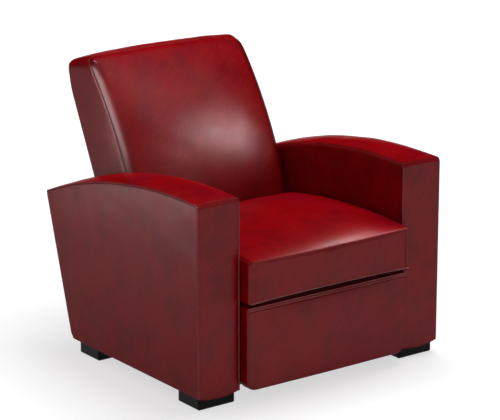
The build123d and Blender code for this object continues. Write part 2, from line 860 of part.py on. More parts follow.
rear_link = link_bar(link_layer_one, (rear_link_at, heel_at), [(rear_link_at, pin_hole)], [heel_at])
keep("rear_links", both_sides(rear_link))

outer_link = link_bar(
    link_layer_two,
    (heel_at, footrest_at),
    [(heel_at, pin_hole), (crossing, pin_hole), (footrest_at, pin_hole)],
    [],
)
keep("outer_links", both_sides(outer_link))

inner_link = link_bar(
    link_layer_two,
    (tail_at, lower_footrest_at),
    [(tail_at, pin_hole), (lower_footrest_at, pin_hole)],
    [],
)
keep("inner_links", both_sides(inner_link))

with BuildPart() as drive_tube:
    with BuildSketch(side(-plate_face + tube_end)):
        with Locations((drive_at.X, drive_at.Y)):
            Circle(tube_radius)
            Circle(tube_radius - tube_wall, mode=Mode.SUBTRACT)
    extrude(amount=2 * (plate_face - tube_end))
keep("drive_tube", drive_tube)

# ------------------------------------------------------------------ footrest
with BuildPart() as footrest_bracket:
    with BuildSketch(side(link_layer_one - link_thick)):
        with Locations((footrest_at.X, footrest_at.Y), (lower_footrest_at.X, lower_footrest_at.Y)):
            Circle(link_half)
        with Locations((footrest_back, bracket_span[0])):
            Rectangle(bracket_flange[1], bracket_span[1] - bracket_span[0], align=(Align.MIN, Align.MIN))
        make_hull()
    extrude(amount=link_thick)
    with BuildSketch(side(link_layer_one - bracket_flange[0])):
        with Locations((footrest_back, bracket_span[0])):
            Rectangle(bracket_flange[1], bracket_span[1] - bracket_span[0], align=(Align.MIN, Align.MIN))
    extrude(amount=bracket_flange[0])
    bracket_stud_tip = link_layer_two - link_thick - pin_stand
    with BuildSketch(side(bracket_stud_tip)):
        with Locations((footrest_at.X, footrest_at.Y), (lower_footrest_at.X, lower_footrest_at.Y)):
            Circle(link_pin)
    extrude(amount=link_layer_one - link_thick - bracket_stud_tip)
keep("footrest_brackets", both_sides(footrest_bracket))

with BuildPart() as footrest_panel:
    with BuildSketch(Plane.XZ.offset(-arm_front - footrest_back)):
        add(footrest_outline(board_inset))
    extrude(amount=footrest_board)
keep("footrest_board", footrest_panel)

with BuildPart() as footrest_pad:
    for share in loft_shares:
        face = footrest_front - footrest_edge_bulge - footrest_crown * (1 - share**2)
        board_face = footrest_back - footrest_board
        with BuildSketch(side(share * footrest_half)):
            with BuildLine():
                Polyline(
                    (footrest_front, footrest_base),
                    (board_face, footrest_base),
                    (board_face, footrest_top),
                    (footrest_front, footrest_top),
                )
                ThreePointArc(
                    (footrest_front, footrest_top),
                    (face, (footrest_top + footrest_base) / 2),
                    (footrest_front, footrest_base),
                )
            make_face()
    loft()
    with BuildSketch(Plane.XZ.offset(-arm_front)):
        add(footrest_outline(0))
    extrude(amount=cut_past, both=True, mode=Mode.INTERSECT)
keep("footrest_pad", footrest_pad)

# ------------------------------------------------------------------ back frame
with BuildPart() as back_bracket:
    with BuildSketch(side(bracket_inner)):
        with BuildLine():
            Polyline(
                (hinge[0] - hinge_lobe, hinge[1]),
                (bracket_front, bracket_shoulder[0]),
                (bracket_front, bracket_shoulder[1]),
                (rear_line(bracket_shoulder[1], outer_panel + stile_depth), bracket_shoulder[1]),
                (rear_line(bracket_top, outer_panel + stile_depth), bracket_top),
                (rear_line(bracket_top, outer_panel), bracket_top),
                (rear_line(back_knee[1], outer_panel), back_knee[1]),
                (rear_line(outer_panel_span[0], outer_panel), outer_panel_span[0]),
                (hinge[0] + hinge_lobe / 2, hinge[1] - hinge_lobe),
                (hinge[0] - hinge_lobe / 2, hinge[1] - hinge_lobe),
                close=True,
            )
        make_face()
        with Locations((hinge_at.X, hinge_at.Y)):
            Circle(hinge_pin + run_gap, mode=Mode.SUBTRACT)
        slot_middle = stud_at - (stud_at - hinge_at).normalized() * (stud_slot / 2)
        with Locations((slot_middle.X, slot_middle.Y)):
            SlotCenterToCenter(
                stud_slot + 2 * slot_play,
                2 * (stud_radius + slot_play),
                rotation=90 + recline_angle / 2,
                mode=Mode.SUBTRACT,
            )
    extrude(amount=plate)
keep("back_bracket_left", back_bracket)
keep("back_bracket_right", mirrored(back_bracket))

with BuildPart() as back_stile:
    with BuildSketch(side(stile_inner)):
        with BuildLine():
            Polyline(
                *rear_band(outer_panel_span[0], stile_top, outer_panel, outer_panel + stile_depth),
                close=True,
            )
        make_face()
    extrude(amount=stile_width)
keep("back_stiles", both_sides(back_stile))

with BuildPart() as back_top_rail:
    with BuildSketch(side(-stile_inner)):
        with BuildLine():
            Polyline(
                *rear_band(stile_top - back_rail, stile_top, outer_panel, outer_panel + stile_depth),
                close=True,
            )
        make_face()
    extrude(amount=2 * stile_inner)
keep("back_top_rail", back_top_rail)

low_rail_top = outer_panel_span[0] + back_rail
with BuildPart() as back_bottom_rail:
    with BuildSketch(side(-stile_inner)):
        with BuildLine():
            Polyline(
                *rear_band(
                    outer_panel_span[0],
                    low_rail_top,
                    outer_panel + stile_depth - back_rail,
                    outer_panel + stile_depth,
                ),
                close=True,
            )
        make_face()
    extrude(amount=2 * stile_inner)
keep("back_bottom_rail", back_bottom_rail)

with BuildPart() as crank:
    with BuildSketch(side(crank_inside)):
        with Locations((crank_at.X, crank_at.Y)):
            Circle(crank_lobe)
        with Locations((rear_line(outer_panel_span[0], outer_panel + stile_depth), outer_panel_span[0])):
            Rectangle(back_rail, tube_wall, align=(Align.MIN, Align.MAX))
        make_hull()
        crank_way = (crank_at - hinge_at).normalized()
        slot_centre = crank_at - crank_way * (crank_slot / 2)
        with Locations((slot_centre.X, slot_centre.Y)):
            SlotCenterToCenter(
                crank_slot + 2 * crank_end_play,
                2 * (crank_pin + slot_play),
                rotation=recline_angle / 2 - 90,
                mode=Mode.SUBTRACT,
            )
    extrude(amount=crank_plate)
keep("recline_crank", both_sides(crank))

spring_foot = Vector(rear_line(low_rail_top, outer_panel + stile_depth), low_rail_top)
spring_head = Vector(rear_line(stile_top - back_rail, outer_panel + stile_depth), stile_top - back_rail)
spring_line = spring_head - spring_foot
with BuildPart() as back_spring:
    spring_plane = Plane(
        origin=(0, arm_front + spring_foot.X, spring_foot.Y),
        x_dir=(1, 0, 0),
        z_dir=(0, -spring_line.Y, spring_line.X),
    ).offset(spring_wire + spring_seat)
    spring_plane.origin -= spring_plane.y_dir * spring_landing
    with BuildLine(spring_plane) as wire:
        wave_path(spring_line.length + 2 * spring_landing)
    with BuildSketch(Plane(origin=wire.line @ 0, z_dir=wire.line % 0)):
        Circle(spring_wire)
    sweep(path=wire.line)
with BuildPart() as back_springs:
    with GridLocations(back_spring_pitch, 0, back_spring_count, 1):
        add(back_spring.part)
keep("back_springs", back_springs)

# ------------------------------------------------------------------ back upholstery
with BuildPart() as back_foam:
    add(back_form(hide + soft_gap))
    with BuildSketch(side(-back_half)):
        with BuildLine():
            Polyline(
                *rear_band(
                    outer_panel_span[0],
                    back_rear_top[1] + back_top_crown,
                    -cut_past,
                    outer_panel + stile_depth + back_foam_gap,
                ),
                close=True,
            )
        make_face()
    extrude(amount=2 * back_half, mode=Mode.SUBTRACT)
keep("back_foam", back_foam)

with BuildPart() as back_cover:
    add(back_form(0))
    cavity = back_form(hide)
    add(cavity, mode=Mode.SUBTRACT)
    extrude(to_extrude=cavity.faces().sort_by(Axis.Z)[0], amount=hide, mode=Mode.SUBTRACT)
    with BuildSketch(side(-outer_panel_half - soft_gap)):
        with BuildLine():
            Polyline(
                *rear_band(
                    outer_panel_span[0],
                    outer_panel_span[1] + soft_gap,
                    -cut_past,
                    outer_panel,
                ),
                close=True,
            )
        make_face()
    extrude(amount=2 * (outer_panel_half + soft_gap), mode=Mode.SUBTRACT)
keep("back_cover", back_cover)

with BuildPart() as back_outer_panel:
    with BuildSketch(side(-outer_panel_half)):
        with BuildLine():
            Polyline(*rear_band(*outer_panel_span, 0, outer_panel), close=True)
        make_face()
    extrude(amount=2 * outer_panel_half)
keep("back_outer_panel", back_outer_panel)

# ------------------------------------------------------------------ recline actuator
with BuildPart() as recline_motor:
    with BuildSketch(side(-motor_lug_half)):
        with Locations((motor_at.X, motor_at.Y)):
            Circle(motor_lug)
    extrude(amount=2 * motor_lug_half)
    with BuildSketch(motor_plane.offset(motor_box[0])):
        with Locations((0, motor_box_half)):
            Rectangle(2 * motor_box_half, motor_box_half + motor_box_drop, align=(Align.CENTER, Align.MAX))
    extrude(amount=motor_box[1] - motor_box[0])
    with BuildSketch(motor_plane.offset(motor_box[1])):
        Circle(motor_tube)
    extrude(amount=motor_tube_end - motor_box[1])
    with BuildSketch(motor_plane.offset(motor_box[1])):
        with Locations((0, -motor_can_drop)):
            Circle(motor_can)
    extrude(amount=motor_can_end - motor_box[1])
    with BuildSketch(motor_plane.offset(motor_bore)):
        Circle(rod_radius + run_gap)
    extrude(amount=motor_tube_end - motor_bore, mode=Mode.SUBTRACT)
    with BuildSketch(side(-motor_lug_half)):
        with Locations((motor_at.X, motor_at.Y)):
            Circle(motor_axle + run_gap)
    extrude(amount=2 * motor_lug_half, mode=Mode.SUBTRACT)
keep("recline_motor", recline_motor)

with BuildPart() as recline_rod:
    with BuildSketch(motor_plane.offset(motor_reach - rod_length)):
        Circle(rod_radius)
    extrude(amount=rod_length)
    eye_half = crank_inside - rod_eye_play
    with BuildSketch(side(-eye_half)):
        with Locations((crank_at.X, crank_at.Y)):
            Circle(rod_eye)
    extrude(amount=2 * eye_half)
    pin_half = crank_inside + crank_plate + pin_stand
    with BuildSketch(side(-pin_half)):
        with Locations((crank_at.X, crank_at.Y)):
            Circle(crank_pin)
    extrude(amount=2 * pin_half)
keep("recline_rod", recline_rod)

# ------------------------------------------------------------------ files
os.makedirs("parts", exist_ok=True)
for name, piece in pieces.items():
    export_step(piece.part, f"parts/{name}.step")

wall_saver_travel = 2 * stud_rise * tan(half_angle)
rod_end = hinge_at + Vector(-sin(half_angle), -cos(half_angle)) * crank_radius - motor_at
print(f"{len(pieces)} pieces")
print(f"seat box travel {wall_saver_travel:.2f} mm over {recline_angle} degrees")
print(f"rod travel {rod_end.length - motor_reach:.2f} mm")
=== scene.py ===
import json
from math import pi, radians

import bmesh
import bpy
import numpy as np
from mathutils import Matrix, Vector, noise

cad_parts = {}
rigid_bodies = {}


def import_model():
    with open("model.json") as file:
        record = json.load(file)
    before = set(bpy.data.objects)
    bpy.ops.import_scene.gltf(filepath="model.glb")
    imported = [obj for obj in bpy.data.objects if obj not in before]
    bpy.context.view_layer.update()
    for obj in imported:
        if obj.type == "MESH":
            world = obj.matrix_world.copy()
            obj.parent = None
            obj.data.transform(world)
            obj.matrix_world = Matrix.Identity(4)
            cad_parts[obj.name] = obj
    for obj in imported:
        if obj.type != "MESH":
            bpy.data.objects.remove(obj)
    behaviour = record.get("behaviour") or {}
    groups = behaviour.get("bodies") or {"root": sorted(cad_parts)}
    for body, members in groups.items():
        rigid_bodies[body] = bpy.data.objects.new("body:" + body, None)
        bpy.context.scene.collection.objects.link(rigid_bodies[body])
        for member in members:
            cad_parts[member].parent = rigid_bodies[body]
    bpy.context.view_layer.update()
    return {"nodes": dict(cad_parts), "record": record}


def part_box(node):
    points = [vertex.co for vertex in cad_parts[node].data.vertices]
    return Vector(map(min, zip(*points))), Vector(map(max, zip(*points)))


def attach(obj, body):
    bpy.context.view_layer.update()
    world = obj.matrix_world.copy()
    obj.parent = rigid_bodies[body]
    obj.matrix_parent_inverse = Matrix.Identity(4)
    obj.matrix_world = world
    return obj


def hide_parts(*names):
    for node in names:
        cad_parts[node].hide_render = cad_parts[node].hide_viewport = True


# A deep-red leather cinema recliner. Lengths are in metres, in the frame of the construction. The points of
# a side outline are (depth, height) pairs, with the depth measured back from the arms' front faces.

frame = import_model()
scene = bpy.context.scene

# ------------------------------------------------------------------ sizes taken from the frame
arm_low, arm_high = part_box("arm_cover_left")
ARM_FRONT = arm_low.y
ARM_INNER = arm_low.x
ARM_OUTER = arm_high.x
ARM_BASE = arm_low.z

seat_low, seat_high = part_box("seat_cushion_cover")
SEAT_HALF = seat_high.x
SEAT_BASE = seat_low.z

BACK_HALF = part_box("back_cover")[1].x

pad_low, pad_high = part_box("footrest_pad")
PAD_HALF = pad_high.x
PAD_BASE = pad_low.z
PAD_TOP = pad_high.z
PAD_REAR = pad_high.y - ARM_FRONT

panel_low, panel_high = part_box("back_outer_panel")
PANEL_HALF = panel_high.x
PANEL_BASE = panel_low.z
PANEL_TOP = panel_high.z

# ------------------------------------------------------------------ outlines of the upholstery
# LENGTHS are a form's rough lengths along u, v and w, which set how many rows of vertices it gets.
ARM_FRONT_TOP = (0.0, 0.627)
ARM_ARCH_MIDDLE = (0.430, 0.600)
ARM_REAR_TOP = (0.820, 0.488)
ARM_REAR_FOOT = 0.688
ARM_FOOT_LEAN = 0.004
ARM_FOOT_ROUND = 0.022
ARM_TOP_ROUND = 0.010
ARM_REAR_ROUND = 0.006
ARM_CROWN = 0.003
ARM_FRONT_BOW = 0.009
ARM_BOW_SHARE = 0.004
ARM_BOW_POWER = 8
ARM_PADDING = 0.025
ARM_PADDING_FALL = 0.55
ARM_LENGTHS = (0.78, 0.55, 0.145)

SEAT_FRONT = -0.049
SEAT_REAR = 0.544
SEAT_FRONT_TOP = (0.0, 0.439)
SEAT_SIDE_MIDDLE = (0.204, 0.446)
SEAT_REAR_TOP = (SEAT_REAR, 0.415)
SEAT_CROWN = 0.021
SEAT_BOW = 0.012
SEAT_LOW_ARCH = 0.013
SEAT_ARCH_POWER = 0.6
SEAT_CORNER = 0.016
SEAT_LENGTHS = (2 * SEAT_HALF, 0.128, SEAT_REAR - SEAT_FRONT)

BACK_FRONT_FOOT = (0.557, 0.402)
BACK_FRONT_MIDDLE = (0.656, 0.645)
BACK_FRONT_TOP = (0.829, 0.891)
BACK_REAR_TOP = (0.963, 0.855)
BACK_KNEE = (0.799, 0.513)
BACK_REAR_FOOT = (0.763, 0.402)
BACK_FACE_CROWN = 0.012
BACK_CROWN_POWER = 0.8
BACK_TOP_CROWN = 0.002
BACK_TOP_POWER = 4
BACK_CORNER = 0.036
BACK_REAR_CORNER = 0.028
BACK_REAR_ROUND = 0.030
BACK_SIDE_ROUND = 0.009
BACK_SHOULDER = 0.76
# How far the painted shade along the sides of the back's face reaches in.
BACK_SHADE_REACH = 0.045
BACK_LENGTHS = (2 * BACK_HALF, 0.54, 0.17)

PAD_FRONT = -0.033
PAD_CROWN = 0.010
PAD_CROWN_POWER = 0.6
PAD_LOW_ROUND = 0.036
PAD_TOP_ROUND = 0.010
PAD_LENGTHS = (2 * PAD_HALF, PAD_TOP - PAD_BASE, 0.04)

PANEL_THICK = 0.008
PANEL_LENGTHS = (2 * PANEL_HALF, 0.6, PANEL_THICK)

# ------------------------------------------------------------------ seams
# Distances of the first rows of vertices from a seam, and the rows that carry piping and stitches.
RIM_OFFSETS = (
    0.0, 0.0012, 0.0026, 0.0042, 0.006, 0.0078, 0.0092, 0.0101, 0.011, 0.0119,
    0.013, 0.0142, 0.0151, 0.016, 0.0172, 0.02, 0.026,
)
RIM_SHARE = 0.42
PIPING_ROW = 2
FIRST_ROW = 3
STITCH_ROW = 5
ROLL_ROW = 8
ROLL_STITCH_ROW = 10
BOXING_ROW = 12
PITCH = 0.012

# How far a seam's pull reaches into its panels, and how wide and deep the sewn furrows are.
REACH = 0.030
LIFT_BLEND = 0.001
LEAST_RIM = 1e-6
NO_PILLOW = (0.0, 1)
FURROW = 0.0020
BOXING_DEPTH = 0.0048
ROLL_DEPTH = 0.0030

# LEAST_STEP is a share of the welt's radius.
WELT = 0.0024
WELT_LIFT = 0.0012
WELT_PITCH = 0.004
WELT_SIDES = 10
LEAST_STEP = 0.25
GROOVE_WIDTH = 1.2 * WELT

# STITCH_RINGS are (place, thickness) pairs, as shares of half the length and of the radius.
STITCH_LENGTH = 0.0046
STITCH_PITCH = 0.0062
STITCH_RADIUS = 0.0006
STITCH_SIDES = 6
STITCH_RINGS = ((-0.8, 0.75), (0.0, 1.0), (0.8, 0.75))

# The finer part of the hide's unevenness, and the least length that is divided by.
FINE_NOISE = 0.4
FINE_RATE = 2.7
TINY = 1e-12


# ------------------------------------------------------------------ geometry helpers
def unit(vectors):
    """The vectors at length 1."""
    return vectors / np.maximum(np.linalg.norm(vectors, axis=-1, keepdims=True), TINY)


def smoothstep(share):
    """A climb from 0 to 1 that is level at both ends."""
    return share**2 * (3 - 2 * share)


def arc_points(first, middle, last, share):
    """Points on the circular arc through three points, at shares of its angle."""
    (ax, ay), (bx, by), (cx, cy) = first, middle, last
    d = 2 * (ax * (by - cy) + bx * (cy - ay) + cx * (ay - by))
    a2, b2, c2 = ax * ax + ay * ay, bx * bx + by * by, cx * cx + cy * cy
    ux = (a2 * (by - cy) + b2 * (cy - ay) + c2 * (ay - by)) / d
    uy = (a2 * (cx - bx) + b2 * (ax - cx) + c2 * (bx - ax)) / d
    radius = np.hypot(ax - ux, ay - uy)
    start = np.arctan2(ay - uy, ax - ux)
    sweep = np.arctan2(cy - uy, cx - ux) - start
    sweep = (sweep + pi) % (2 * pi) - pi
    angle = start + sweep * share
    return ux + radius * np.cos(angle), uy + radius * np.sin(angle)


def round_corner(x, y, corner, inward, radius):
    """Turns the square at a corner into its quarter disc. inward is the (x, y) way to the centre."""
    cx, cy = corner[0] + inward[0] * radius, corner[1] + inward[1] * radius
    out_x, out_y = (cx - x) * inward[0], (cy - y) * inward[1]
    inside = (out_x > 0) & (out_y > 0)
    reach = np.maximum(np.hypot(out_x, out_y), TINY)
    scale = np.where(inside, np.maximum(out_x, out_y) / reach, 1.0)
    return cx - out_x * scale * inward[0], cy - out_y * scale * inward[1]


def round_both_sides(x, other, half, edge, inward, radius):
    """Rounds the two corners at x = -half and x = half, where the other length is at its edge."""
    for way in (-1, 1):
        near = way * x > half - radius
        moved_x, moved = round_corner(x, other, (way * half, edge), (-way, inward), radius)
        x = np.where(near, moved_x, x)
        other = np.where(near, moved, other)
    return x, other


def stations(length):
    """Shares along a panel: close rows at both rims and an even pitch between them."""
    rim = np.array([offset for offset in RIM_OFFSETS if offset < length * RIM_SHARE])
    span = length - 2 * rim[-1]
    count = max(2, int(round(span / PITCH)))
    inner = rim[-1] + span * np.arange(1, count) / count
    return np.concatenate([rim, inner, length - rim[::-1]]) / length


def runs(points, row):
    """Lengths along the rows of a grid of points from their first rim, and each row's whole length."""
    steps = np.linalg.norm(np.diff(points, axis=row), axis=-1)
    run = np.concatenate([np.zeros_like(np.take(steps, [0], row)), np.cumsum(steps, row)], row)
    return run, np.take(run, [-1], row)


# A form's six panels: which of its parameters u, v and w stays the same over the panel, and at which end.
FACES = {"u0": (0, 0), "u1": (0, 1), "v0": (1, 0), "v1": (1, 1), "w0": (2, 0), "w1": (2, 1)}


def panel_axes(face):
    """The two parameters that run over a panel."""
    return [axis for axis in range(3) if axis != FACES[face][0]]


def across(face, side):
    """Which of a panel's two directions leads away from one of its sides."""
    return panel_axes(face).index(FACES[side][0])


def face_index(face):
    """The index of a panel in a grid over u, v and w."""
    axis, end = FACES[face]
    return tuple(-end if k == axis else slice(None) for k in range(3))


class Upholstery:
    """A closed leather-covered form of six panels that meet at seams.

    form gives the points for shares u, v and w, before they swell. rims holds the (radius, groove) of a
    panel where it meets another, for both where only one is given. pillows holds a panel's (height, power).
    A fixed panel isn't raised to make up for its seams' depth, and the seams of a sunk one lie low. furrows
    holds the (distance, depth) of a sewn line beside a seam.
    """

    def __init__(
        self, form, lengths, rims, pillows, fixed=(), sunk=(), furrows=None, default_rim=(0.004, 0.0),
    ):
        self.rims = rims
        self.pillows = pillows
        self.fixed = fixed
        self.sunk = sunk
        self.furrows = furrows or {}
        self.default_rim = default_rim
        shares = [stations(length) for length in lengths]
        counts = [len(share) for share in shares]
        self.ids = np.full(counts, -1)
        shell = np.zeros(counts, bool)
        for face in FACES:
            shell[face_index(face)] = True
        self.ids[shell] = np.arange(shell.sum())
        where = np.argwhere(shell)
        nominal = form(*(shares[axis][where[:, axis]] for axis in range(3)))
        self.centre = nominal.mean(0)
        total = np.zeros_like(nominal)
        hits = np.zeros(len(total))
        for face in FACES:
            ids = self.face_ids(face)
            np.add.at(total, ids, self.pillowed(face, nominal[ids]))
            np.add.at(hits, ids, 1)
        self.points = total / hits[:, None]

    def face_ids(self, face):
        """The grid of a panel's vertex numbers."""
        return self.ids[face_index(face)]

    def outward(self, points):
        """Normals of a panel's grid of points, away from the middle of the form."""
        normal = unit(np.cross(np.gradient(points, axis=0), np.gradient(points, axis=1)))
        return -normal if np.sum((points - self.centre) * normal) < 0 else normal

    def rim(self, face, other, points):
        """Radius and groove of a panel at its seam with another."""
        shared = self.rims.get((other, face), self.default_rim)
        radius, groove = self.rims.get((face, other), shared)
        if callable(radius):
            radius = radius(points)
        return np.maximum(radius, LEAST_RIM), groove

    def pillowed(self, face, points):
        """Draws a panel down at its rims and swells it between them."""
        normal = self.outward(points)
        result = points.copy()
        drop, lift, weight = (np.zeros(points.shape[:2]) for _ in range(3))
        bulge = np.ones(points.shape[:2])
        height, power = self.pillows.get(face, NO_PILLOW)
        if callable(height):
            height = height(points)
        for row, axis in enumerate(panel_axes(face)):
            run, length = runs(points, row)
            bulge *= 1 - np.abs(2 * run / length - 1) ** power
            along = unit(np.gradient(points, axis=row))
            for end, away, tangent in ((0, run, -along), (1, length - run, along)):
                other = f"{'uvw'[axis]}{end}"
                radius, groove = self.rim(face, other, points)
                angle = (1 - np.clip(away / radius, 0, 1)) * pi / 4
                fall = radius * (1 - np.cos(angle))
                slide = np.where(away < radius, radius * np.sin(angle) - radius + away, 0)
                pull = groove * np.exp(-away / GROOVE_WIDTH)
                regain = radius * (1 - np.cos(pi / 4)) + groove
                if face in self.sunk or other in self.sunk:
                    regain = 0.0
                near = 1 / (away + LIFT_BLEND)
                weight += near
                if face not in self.fixed:
                    lift += regain * near
                if other not in self.fixed:
                    slide = slide + regain * np.exp(-away / REACH)
                drop = np.hypot(drop, fall + pull)
                result += tangent * (slide - pull)[..., None]
                if (face, other) in self.furrows:
                    place, depth = self.furrows[face, other]
                    drop = drop + depth * np.exp(-(((away - place) / FURROW) ** 2))
        return result + normal * (height * bulge + lift / weight - drop)[..., None]

    def normals(self):
        """Outward normals of all vertices, shared between panels at their seams."""
        total = np.zeros_like(self.points)
        for face in FACES:
            ids = self.face_ids(face)
            np.add.at(total, ids, self.outward(self.points[ids]))
        return unit(total)

    def faces(self):
        """The four vertices of each face."""
        quads = []
        for face in FACES:
            ids = self.face_ids(face)
            corners = (ids[:-1, :-1], ids[1:, :-1], ids[1:, 1:], ids[:-1, 1:])
            quads.append(np.stack(corners, -1).reshape(-1, 4))
        return np.concatenate(quads)

    def soften(self, amount, scale, seed):
        """Slight unevenness of hide over foam, none at the seams."""
        shift = Vector((seed, 0, 0))
        values = [
            noise.noise(Vector(p) * scale + shift)
            + FINE_NOISE * noise.noise(Vector(p) * scale * FINE_RATE - shift)
            for p in self.points
        ]
        self.points = self.points + self.normals() * (amount * np.array(values) * self.calm())[:, None]
        self.all_normals = self.normals()

    def calm(self):
        """0 on every rim and 1 in the open panels."""
        calm = np.ones(len(self.points))
        for face in FACES:
            ids = self.face_ids(face)
            for row in (0, 1):
                run, length = runs(self.points[ids], row)
                near = np.minimum(run, length - run) / RIM_OFFSETS[-1]
                calm[ids] = np.minimum(calm[ids], np.clip(near, 0, 1))
        return smoothstep(calm)

    def painted_edge_shade(self, rims, reach):
        """How much painted shade each vertex gets: 1 on the given rims, fading to 0 over a reach into their
        panels.
        """
        level = np.zeros(len(self.points))
        for face, side in rims:
            ids = self.face_ids(face)
            run, length = runs(self.points[ids], across(face, side))
            away = run if FACES[side][1] == 0 else length - run
            fade = np.clip(1 - away / reach, 0, 1)
            level[ids] = np.maximum(level[ids], smoothstep(fade))
        return level

    def line(self, face, side, row=0):
        """A row of a panel, counted from its rim on that side: points and outward normals."""
        ids = self.face_ids(face)
        direction = across(face, side)
        index = row if FACES[side][1] == 0 else -1 - row
        picked = np.take(ids, index, direction)
        if row == 0:
            return self.points[picked], self.all_normals[picked]
        return self.points[picked], np.take(self.outward(self.points[ids]), index, direction)

    def line_round(self, face):
        """The seam up one side of a panel, along its top and down the other side."""
        return chain([self.line(face, "u0"), self.line(face, "v1"), backwards(self.line(face, "u1"))])


def backwards(line):
    """A line from its other end."""
    points, normals = line
    return points[::-1], normals[::-1]


def chain(lines):
    """Joins lines end to end."""
    points, normals = lines[0]
    for more, turned in lines[1:]:
        points = np.concatenate([points, more[1:]])
        normals = np.concatenate([normals, turned[1:]])
    return points, normals


def smooth_line(points, normals, rounds=2):
    """Rounds the corners of a line without moving its ends."""
    for _ in range(rounds):
        middle = (points[:-2] + 2 * points[1:-1] + points[2:]) / 4
        points = np.concatenate([points[:1], middle, points[-1:]])
        turned = unit((normals[:-2] + 2 * normals[1:-1] + normals[2:]) / 4)
        normals = np.concatenate([normals[:1], turned, normals[-1:]])
    return points, normals


def resample(points, normals, pitch):
    """Even points along a line, about a pitch apart, with their normals."""
    run = np.concatenate([[0], np.cumsum(np.linalg.norm(np.diff(points, axis=0), axis=1))])
    at = np.linspace(0, run[-1], max(2, int(run[-1] / pitch)) + 1)
    spread, turned = (
        np.stack([np.interp(at, run, values[:, k]) for k in range(3)], 1) for values in (points, normals)
    )
    return spread, unit(turned)


# ------------------------------------------------------------------ pieces
def mesh_object(name, points, faces, material, body, slot):
    """A smooth mesh that rides on a body."""
    mesh = bpy.data.meshes.new(name)
    mesh.from_pydata([tuple(p) for p in points], [], [tuple(int(i) for i in f) for f in faces])
    mesh.validate()
    mesh.polygons.foreach_set("use_smooth", [True] * len(mesh.polygons))
    mesh.materials.append(material)
    piece = bpy.data.objects.new(name, mesh)
    scene.collection.objects.link(piece)
    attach(piece, body)
    return piece


def upholstered(name, form, material, body, slot):
    """The whole surface of a form as one piece, with every face turned outward."""
    piece = mesh_object(name, form.points, form.faces(), material, body, slot)
    work = bmesh.new()
    work.from_mesh(piece.data)
    bmesh.ops.recalc_face_normals(work, faces=work.faces)
    work.to_mesh(piece.data)
    work.free()
    return piece


def store_painted_edge_shade(piece, levels):
    """Stores at each vertex how far painted shade darkens the hide."""
    attribute = piece.data.attributes.new(SHADE_ATTRIBUTE, "FLOAT", "POINT")
    attribute.data.foreach_set("value", levels)


def tube_faces(rings, sides):
    """Faces of a closed tube, whose vertices are its rings and then one for each end."""
    faces = []
    for ring in range(rings - 1):
        for k in range(sides):
            a, b = ring * sides + k, ring * sides + (k + 1) % sides
            faces.append((a, b, b + sides, a + sides))
    first, last = rings * sides, rings * sides + 1
    for k in range(sides):
        faces.append((first, (k + 1) % sides, k))
        faces.append((last, (rings - 1) * sides + k, (rings - 1) * sides + (k + 1) % sides))
    return faces


def tube(points, normals, radius, lift):
    """A tube along a line, raised by a lift along the line's normals."""
    points = points + normals * lift
    steps = np.linalg.norm(np.diff(points, axis=0), axis=1)
    keep = np.concatenate([[True], steps > radius * LEAST_STEP])
    points, normals = points[keep], normals[keep]
    tangent = unit(np.gradient(points, axis=0))
    side = unit(np.cross(tangent, normals))
    up = np.cross(side, tangent)
    turn = 2 * pi * np.arange(WELT_SIDES) / WELT_SIDES
    rings = points[:, None] + radius * (
        side[:, None] * np.cos(turn)[None, :, None] + up[:, None] * np.sin(turn)[None, :, None]
    )
    ends = (points[:1] - tangent[:1] * radius, points[-1:] + tangent[-1:] * radius)
    return np.concatenate([rings.reshape(-1, 3), *ends]), tube_faces(len(points), WELT_SIDES)


def stitch(middle, tangent, normal):
    """One lock stitch: a short thread that thins and sinks towards its ends."""
    side = np.cross(tangent, normal)
    points = []
    for place, fat in STITCH_RINGS:
        for k in range(STITCH_SIDES):
            angle = 2 * pi * k / STITCH_SIDES
            offset = side * np.cos(angle) + normal * (np.sin(angle) * fat - (1 - fat))
            points.append(middle + tangent * place * STITCH_LENGTH / 2 + offset * STITCH_RADIUS * fat)
    for end in (-1, 1):
        points.append(middle + tangent * end * STITCH_LENGTH / 2 - normal * STITCH_RADIUS)
    return points, tube_faces(len(STITCH_RINGS), STITCH_SIDES)


def joined(parts):
    """The vertices and faces of several meshes as one."""
    vertices, faces, base = [], [], 0
    for points, part_faces in parts:
        vertices.append(np.asarray(points))
        faces += [tuple(i + base for i in face) for face in part_faces]
        base += len(points)
    return np.concatenate(vertices), faces


def welt_piece(name, lines, body, slot, material, radius=WELT, lift=WELT_LIFT):
    """Piping along seams."""
    parts = []
    for line in lines:
        points, normals = resample(*smooth_line(*line), WELT_PITCH)
        parts.append(tube(points, normals, radius, lift))
    return mesh_object(name, *joined(parts), material, body, slot)


def stitch_piece(name, lines, body, slot, material):
    """Rows of lock stitches lying in the hide."""
    parts = []
    for line in lines:
        points, normals = resample(*smooth_line(*line), STITCH_PITCH)
        middles = (points[1:] + points[:-1]) / 2
        tangents = unit(points[1:] - points[:-1])
        parts += [stitch(*place) for place in zip(middles, tangents, normals[1:])]
    return mesh_object(name, *joined(parts), material, body, slot)


# ------------------------------------------------------------------ shader nodes
def node_material(name):
    """A new material, its nodes and links, and its shader."""
    material = bpy.data.materials.new(name)
    material.use_nodes = True
    nodes, links = material.node_tree.nodes, material.node_tree.links
    return material, nodes, links, nodes["Principled BSDF"]


def object_position(nodes):
    return nodes.new("ShaderNodeTexCoord").outputs["Object"]


def grey(level):
    return (level, level, level)


def noise_node(nodes, links, position, scale, detail=2.0, roughness=0.5):
    texture = nodes.new("ShaderNodeTexNoise")
    texture.inputs["Scale"].default_value = scale
    texture.inputs["Detail"].default_value = detail
    texture.inputs["Roughness"].default_value = roughness
    links.new(position, texture.inputs["Vector"])
    return texture.outputs["Fac"]


